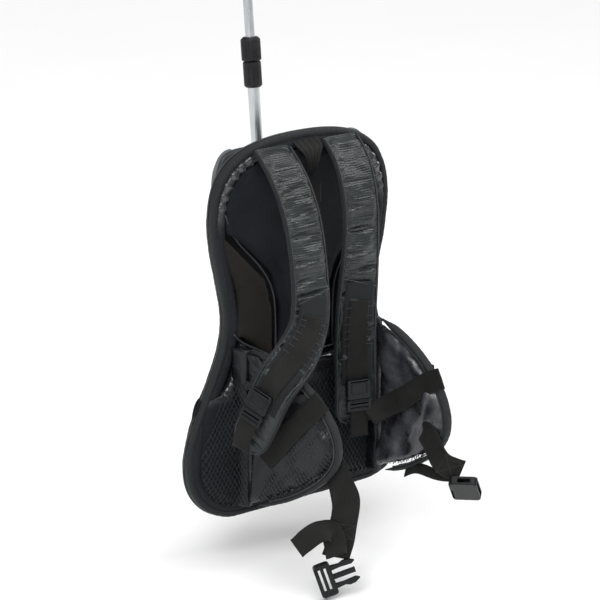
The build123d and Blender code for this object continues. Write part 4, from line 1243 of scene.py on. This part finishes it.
for side in ("left", "right"):
    lengths = strap_lines[side][2]
    total = lengths[-1]
    reach = 212.0 if side == "left" else 208.0
    patch = strap_strip(f"strap_patch_{side}", side, reach, total - 62, 44.0, 7.0, seed=62)
    finish_piece(patch, strap_lining, "harness", "webbing")
    skew = 3.0 if side == "left" else 0.0
    top = strap_strip(f"strap_web_{side}", side, reach + 26, total - 52, 30.0, 8.6, skew, seed=63)
    finish_piece(top, webbing, "harness", "webbing", f"strap_webbing_{side}")
    rows = []
    for number, where in enumerate(np.arange(reach + 36, reach + 92, 11.0)):
        centre, along, across, out = strap_frame(side, where)
        for s in (-1, 1):
            middle = centre + out * 9.9 + across * (s * 16.0)
            line = np.linspace(middle - across * 3.4, middle + across * 3.4, 7)
            rows.append(stitch_row("bar", line, out, 1.5, 0.1, 1.1))
    ladder = join(f"strap_bartacks_{side}", rows)
    finish_piece(ladder, thread, "harness", "webbing")
    centre, along, across, out = strap_frame(side, reach)
    slant = 7.0 if side == "left" else -7.0
    line = np.array(
        [centre + out * 7.2 + across * c + along * (c / 25 * slant) for c in np.linspace(-25, 25, 21)]
    )
    seam = sweep(f"strap_seam_{side}", line, np.broadcast_to(out, line.shape), rounded(1.7, 1.5, 8, 2))
    finish_piece(seam, piping_cloth, "harness", "strap_fabric")


# ------------------------------------------------------------ buckles and adjusters
def cad_station(side, index):
    """The CAD strap's centre and directions at one of its stations."""
    stations = strap_stations[side]
    here, ahead = np.array(stations[index][0], float), np.array(stations[index + 1][0], float)
    along = unit(ahead - here)
    across = unit(np.cross(along, stations[index][1]))
    return here, along, across, unit(np.cross(across, along))


buckle_width = 34.0
buckle_face = 0.135 * buckle_width
buckle_ends = {}
for side in ("left", "right"):
    centre, along, across, out = cad_station(side, 7)
    origin = centre + along * 24 + out * (6.5 + buckle_face + 2)
    origin = origin + across * (7 if side == "left" else 0)
    buckle_ends[side] = (origin + along * (0.925 * buckle_width + 1.0), along, across, out)
    # Tail webbing that leaves the buckle's ladder.
    end, along, across, out = buckle_ends[side]
    s = side_sign[side]
    knots = [
        end - along * 9 - out * 0.5,
        end + along * 1.5,
        end + along * 21 + out,
        end + along * 21 + out + np.array([s * 2, 2, -18]),
    ]
    path = spline(np.array(knots), 2.5)
    tail = strip(f"buckle_tail_{side}", path, np.broadcast_to(out, path.shape), 26.0, 1.8, 0.5, 71)
    finish_piece(tail, webbing, "harness", "webbing", f"adjuster_tail_{side}")
    tip = path[-1]
    fold = np.linspace(tip - across * 12, tip + across * 12, 9) + out * 1.1
    hem = stitch_row(f"tail_hem_{side}", fold, out, 2.2, 0.8, 0.7)
    finish_piece(hem, thread, "harness", "webbing")

    # Raised rim and ribs moulded on the buckle's face.
    face = out * (buckle_face + 0.1)
    loop = rounded(22.0, 17.0, 60, 5.0)
    rim_path = origin + face + across * loop[:, :1] + along * (loop[:, 1:] - 2.0)
    details = [sweep("rim", rim_path, np.broadcast_to(out, rim_path.shape), rounded(1.6, 1.4, 10, 2.4), True)]
    for number in range(4):
        down = 16.6 + number * 1.0 + (number > 1) * 9.2
        middle = origin + out * (0.12 * buckle_width + 0.1) + along * down
        middle = middle if number < 2 else middle - along * 0.6
        line = np.linspace(middle - across * 13, middle + across * 13, 12)
        details.append(sweep("rib", line, np.broadcast_to(out, line.shape), rounded(0.8, 1.2, 10, 2.4)))
    raised = join(f"buckle_relief_{side}", details)
    finish_piece(raised, buckle_black, "harness", "buckle_plastic")

right_end = buckle_ends["right"][0]
adjusters = {
    "left": [
        wing_place("left", 134.0, -58.0, 10.5),
        wing_place("left", 110.0, -84.0, 11.5),
        wing_place("left", 86.0, -110.0, 11.8),
        wing_place("left", 62.0, -137.0, 11.6),
        wing_place("left", 41.0, -161.0, 12.0),
    ],
    "right": [
        wing_place("right", 150.0, -62.0, -9.5),
        wing_place("right", 126.0, -74.0, -11.0),
        wing_place("right", 84.0, -106.0, -20.0),
        right_end + np.array([22.0, -16.0, -2.0]),
        right_end + np.array([9.0, -12.0, -10.0]),
    ],
}
for side, knots in adjusters.items():
    path = spline(np.array(knots), 2.5)
    facing = wing_axes(side)[2] if side == "left" else unit(np.array([-0.75, -0.6, 0.2]))
    band = strip(f"adjuster_band_{side}", path, np.broadcast_to(facing, path.shape), 30.0, 1.8, 0.5, 73)
    body = "wing_left" if side == "left" else None
    finish_piece(band, webbing, body, "webbing", f"adjuster_webbing_{side}")
    if side == "right":
        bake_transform(band)

# ------------------------------------------------------------ belts
left_hang = wing_place("left", wing_reach + 1, -208.0, 0.0)
right_foot = wing_place("right", wing_reach + 17, -194.0, 0.0)
belt_lines = {
    "left": [
        (wing_place("left", 122.0, -112.0, -7.6), (-1, -0.3, 0)),
        (wing_place("left", 132.0, -140.0, -9.0), (-1, -0.35, 0)),
        (wing_place("left", 148.0, -172.0, -9.5), (-0.9, -0.45, 0)),
        (left_hang + (9, 2, 0), (-0.4, -1, 0)),
        (left_hang + (4, 6, -46), (-0.5, -0.9, 0)),
        (left_hang + (-2, 8, -70), (-0.5, -0.9, 0)),
    ],
    "right": [
        (wing_place("right", 78.0, -120.0, -8.2), (-1, 0, 0.05)),
        (wing_place("right", 102.0, -138.0, -9.0), (-1, 0, 0.05)),
        (wing_place("right", 130.0, -156.0, -9.5), (-1, -0.05, 0.05)),
        (wing_place("right", 154.0, -180.0, -10.0), (-1, -0.2, 0)),
        (right_foot + (8, 0, 0), (-0.8, -0.6, 0)),
    ],
}
belt_paths = {}
for side, stations in belt_lines.items():
    path, outward = turning_path(stations, 2.5)
    belt_paths[side] = (path, outward)
    belt = strip(f"belt_{side}", path, outward, 38.0, 1.8, 0.9, 81)
    finish_piece(belt, webbing, f"wing_{side}", "webbing", f"belt_webbing_{side}")


def box_stitch(name, centre, along, across, out, length, width, body):
    """A sewn box with a cross in it."""
    a, c = along * length / 2, across * width / 2
    corners = [centre - a - c, centre + a - c, centre + a + c, centre - a + c]
    rows = []
    for i in range(4):
        rows.append(stitch_row("run", np.linspace(corners[i], corners[(i + 1) % 4], 12), out, 2.2, 1.0, 0.8))
    for i in range(2):
        rows.append(stitch_row("run", np.linspace(corners[i], corners[i + 2], 12), out, 2.2, 1.0, 0.8))
    finish_piece(join(name, rows), thread, body, "webbing")


path, outward = belt_paths["right"]
along, across, out = path_frames(path, outward)
i = len(path) - 9
box_stitch("belt_box_stitch_right", path[i] + out[i] * 1.3, along[i], across[i], out[i], 26, 30, "wing_right")
path, outward = belt_paths["left"]
along, across, out = path_frames(path, outward)
i = len(path) - 16
box_stitch("belt_box_stitch_left", path[i] + out[i] * 1.5, along[i], across[i], out[i], 20, 30, "wing_left")

# Loose end of the left belt: out of the buckle, back and away to the side.
knots = [
    (left_hang + (-4, 4, -66), (-0.5, -0.9, 0)),
    (left_hang + (-12, -2, -48), (-0.6, -0.8, 0.2)),
    (left_hang + (-14, 0, -30), (-0.4, -0.8, 0.6)),
    (left_hang + (-30, -2, -22), (-0.2, -0.8, 0.7)),
    (left_hang + (-52, 0, -27), (-0.1, -0.85, 0.5)),
    (left_hang + (-72, 4, -38), (-0.1, -0.9, 0.4)),
]
loose = strip("belt_loose_end_left", *turning_path(knots, 2.5), 30.0, 1.8, 1.0, 83)
finish_piece(loose, webbing, "wing_left", "webbing")

# Second thin strap from the right wing's foot to its belt end.
knots = [
    (wing_place("right", 70.0, -222.0, -2.0), (-0.7, -0.3, 0.7)),
    (wing_place("right", 104.0, -206.0, -6.0), (-0.6, -0.4, 0.7)),
    (wing_place("right", 140.0, -204.0, -6.0), (-0.5, -0.5, 0.7)),
    (right_foot + (2, 6, -4), (-0.6, -0.7, 0.4)),
]
thin = strip("belt_stay_right", *turning_path(knots, 2.5), 16.0, 1.6, 0.5, 84)
finish_piece(thin, webbing, "wing_right", "webbing")

# Tabs on the wings' inner faces where the belt is sewn in.
tab_length, tab_half, tab_rows, tab_columns = 30, 17, 12, 14
for side, reach, height in (("left", 112, -126), ("right", 70, -122)):
    outward = wing_axes(side)[2]
    down = np.linspace(reach, reach + tab_length, tab_rows)
    flat_u, flat_v = np.meshgrid(down, np.linspace(-tab_half, tab_half, tab_columns), indexing="ij")
    squeeze = 1 - 0.18 * (flat_u - reach) / tab_length
    place = wing_place(side, flat_u.ravel(), (height + flat_v * squeeze).ravel(), -8.0)
    middle = (flat_u.ravel() - reach - tab_length / 2) / tab_length
    place -= outward * (0.8 - 1.6 * middle**2)[:, None]
    points = np.vstack([place, place + outward * 1.4])
    faces, n, m = [], tab_rows, tab_columns
    for i in range(n - 1):
        for j in range(m - 1):
            a = i * m + j
            faces.append((a, a + 1, a + m + 1, a + m))
            b = a + n * m
            faces.append((b, b + m, b + m + 1, b + 1))
    rim = [j for j in range(m)] + [i * m + m - 1 for i in range(1, n)]
    rim += [(n - 1) * m + j for j in range(m - 2, -1, -1)] + [i * m for i in range(n - 2, 0, -1)]
    for a, b in zip(rim, rim[1:] + rim[:1]):
        faces.append((a, a + n * m, b + n * m, b))
    grain = np.column_stack([np.tile(flat_u.ravel(), 2), np.tile(flat_v.ravel(), 2)])
    tab = make_piece(f"belt_tab_{side}_0", points, faces, grain)
    finish_piece(tab, webbing, f"wing_{side}", "webbing")

# ------------------------------------------------------------ top centre
path = np.array([[x, -14.6, 176 + 0.02 * x] for x in np.linspace(-24, 24, 20)])
patch = strip("yoke_band", path, np.broadcast_to(FRONT, path.shape), 26.0, 1.6, 0.3, 91)
finish_piece(patch, webbing, "harness", "webbing", "yoke_patch")
knots = [
    ((0, -10.5, 251), (0, -0.7, 0.7)),
    ((0, -19, 246), (0, -0.7, 0.7)),
    ((0, -27, 236), (0, -0.95, 0.3)),
    ((0, -29, 224), (0, -1, 0)),
    ((0, -24, 211), (0, -0.9, -0.4)),
    ((0, -14.6, 203), (0, -0.9, -0.4)),
]
path, outward = turning_path(knots, 2.0)
x = np.linspace(-1, 1, 41)
front = np.column_stack([x, np.full(41, 0.9)])
section = np.repeat(np.vstack([front, front[::-1] * np.array([1, -1])])[None], len(path), 0)
share = np.linspace(0, 1, len(path))
half = 21 - 15 * smoothstep(share, 0.05, 0.8)
drift = 0.6 * np.sin(share * 5)[:, None]
section[..., 1] += (0.5 + 1.6 * smoothstep(share, 0.1, 0.8))[:, None] * np.sin(section[..., 0] * 13 + drift)
section[..., 0] *= half[:, None]
loop = sweep("grab_loop", path, outward, section)
finish_piece(loop, webbing, "harness", "webbing", "grab_handle")

# ------------------------------------------------------------ hard parts keep their CAD shape
for subpart in frame["record"]["subparts"]:
    node = nodes.get(subpart["node"])
    if node is not None:
        node.data.materials.clear()
        node.data.materials.append(slot_materials[subpart["material_slot"]])
for name in ("strap_buckle_sockets", "strap_buckle_plugs", "belt_buckle_plug", "belt_buckle_socket"):
    bevel = nodes[name].modifiers.new("soft edges", "BEVEL")
    bevel.width = 0.7 * MM
    bevel.segments = 3
    bevel.limit_method = "ANGLE"

# ------------------------------------------------------------ camera, light and floor
floor_height = cad_low.z - 0.004
mesh = bpy.data.meshes.new("floor")
mesh.from_pydata(
    [(-30, -30, floor_height), (30, -30, floor_height), (30, 30, floor_height), (-30, 30, floor_height)],
    [],
    [(0, 1, 2, 3)],
)
floor = bpy.data.objects.new("floor", mesh)
bpy.context.scene.collection.objects.link(floor)
graph = Graph("floor_paper", (0.93, 0.93, 0.93), 0.9)
graph.vary_colour(graph.noise(3, 2), (0.92, 0.92, 0.92), (0.95, 0.95, 0.95))
floor.data.materials.append(graph.material)

world = bpy.data.worlds.new("studio")
world.use_nodes = True
world.node_tree.nodes["Background"].inputs["Color"].default_value = (1, 1, 1, 1)
world.node_tree.nodes["Background"].inputs["Strength"].default_value = 0.42
bpy.context.scene.world = world
bpy.context.scene.view_settings.view_transform = "Standard"


def area_light(name, place, target, size, power):
    data = bpy.data.lights.new(name, "AREA")
    data.shape = "RECTANGLE"
    data.size, data.size_y = size
    data.energy = power
    obj = bpy.data.objects.new(name, data)
    obj.location = place
    obj.rotation_euler = (Vector(target) - Vector(place)).to_track_quat("-Z", "Y").to_euler()
    bpy.context.scene.collection.objects.link(obj)


area_light("key", (-2.2, -1.6, 1.9), (0, 0, 0), (1.0, 1.4), 42)
area_light("rim", (1.9, -0.6, 1.6), (0, 0, 0), (0.7, 1.2), 26)
data = bpy.data.lights.new("sun", "SUN")
data.energy = 2.1
data.angle = math.radians(60)
sun = bpy.data.objects.new("sun", data)
sun.rotation_euler = (math.radians(24), math.radians(-18), 0)
bpy.context.scene.collection.objects.link(sun)

azimuth, elevation = math.radians(-38), math.radians(17)
level = math.cos(elevation)
away = Vector((math.sin(azimuth) * level, -math.cos(azimuth) * level, math.sin(elevation)))
camera_data = bpy.data.cameras.new("camera")
camera_data.lens = 148
camera_data.sensor_width = 36
camera = bpy.data.objects.new("camera", camera_data)
upward = Vector((0.18, 0.23, 0.956))
target = upward * 0.0245
camera_distance = 3.36
camera.location = target + away * camera_distance
camera.rotation_euler = (-away).to_track_quat("-Z", "Y").to_euler()
camera_data.clip_start, camera_data.clip_end = 0.05, 40
bpy.context.scene.collection.objects.link(camera)
bpy.context.scene.camera = camera
bpy.context.scene.render.resolution_x = bpy.context.scene.render.resolution_y = 600
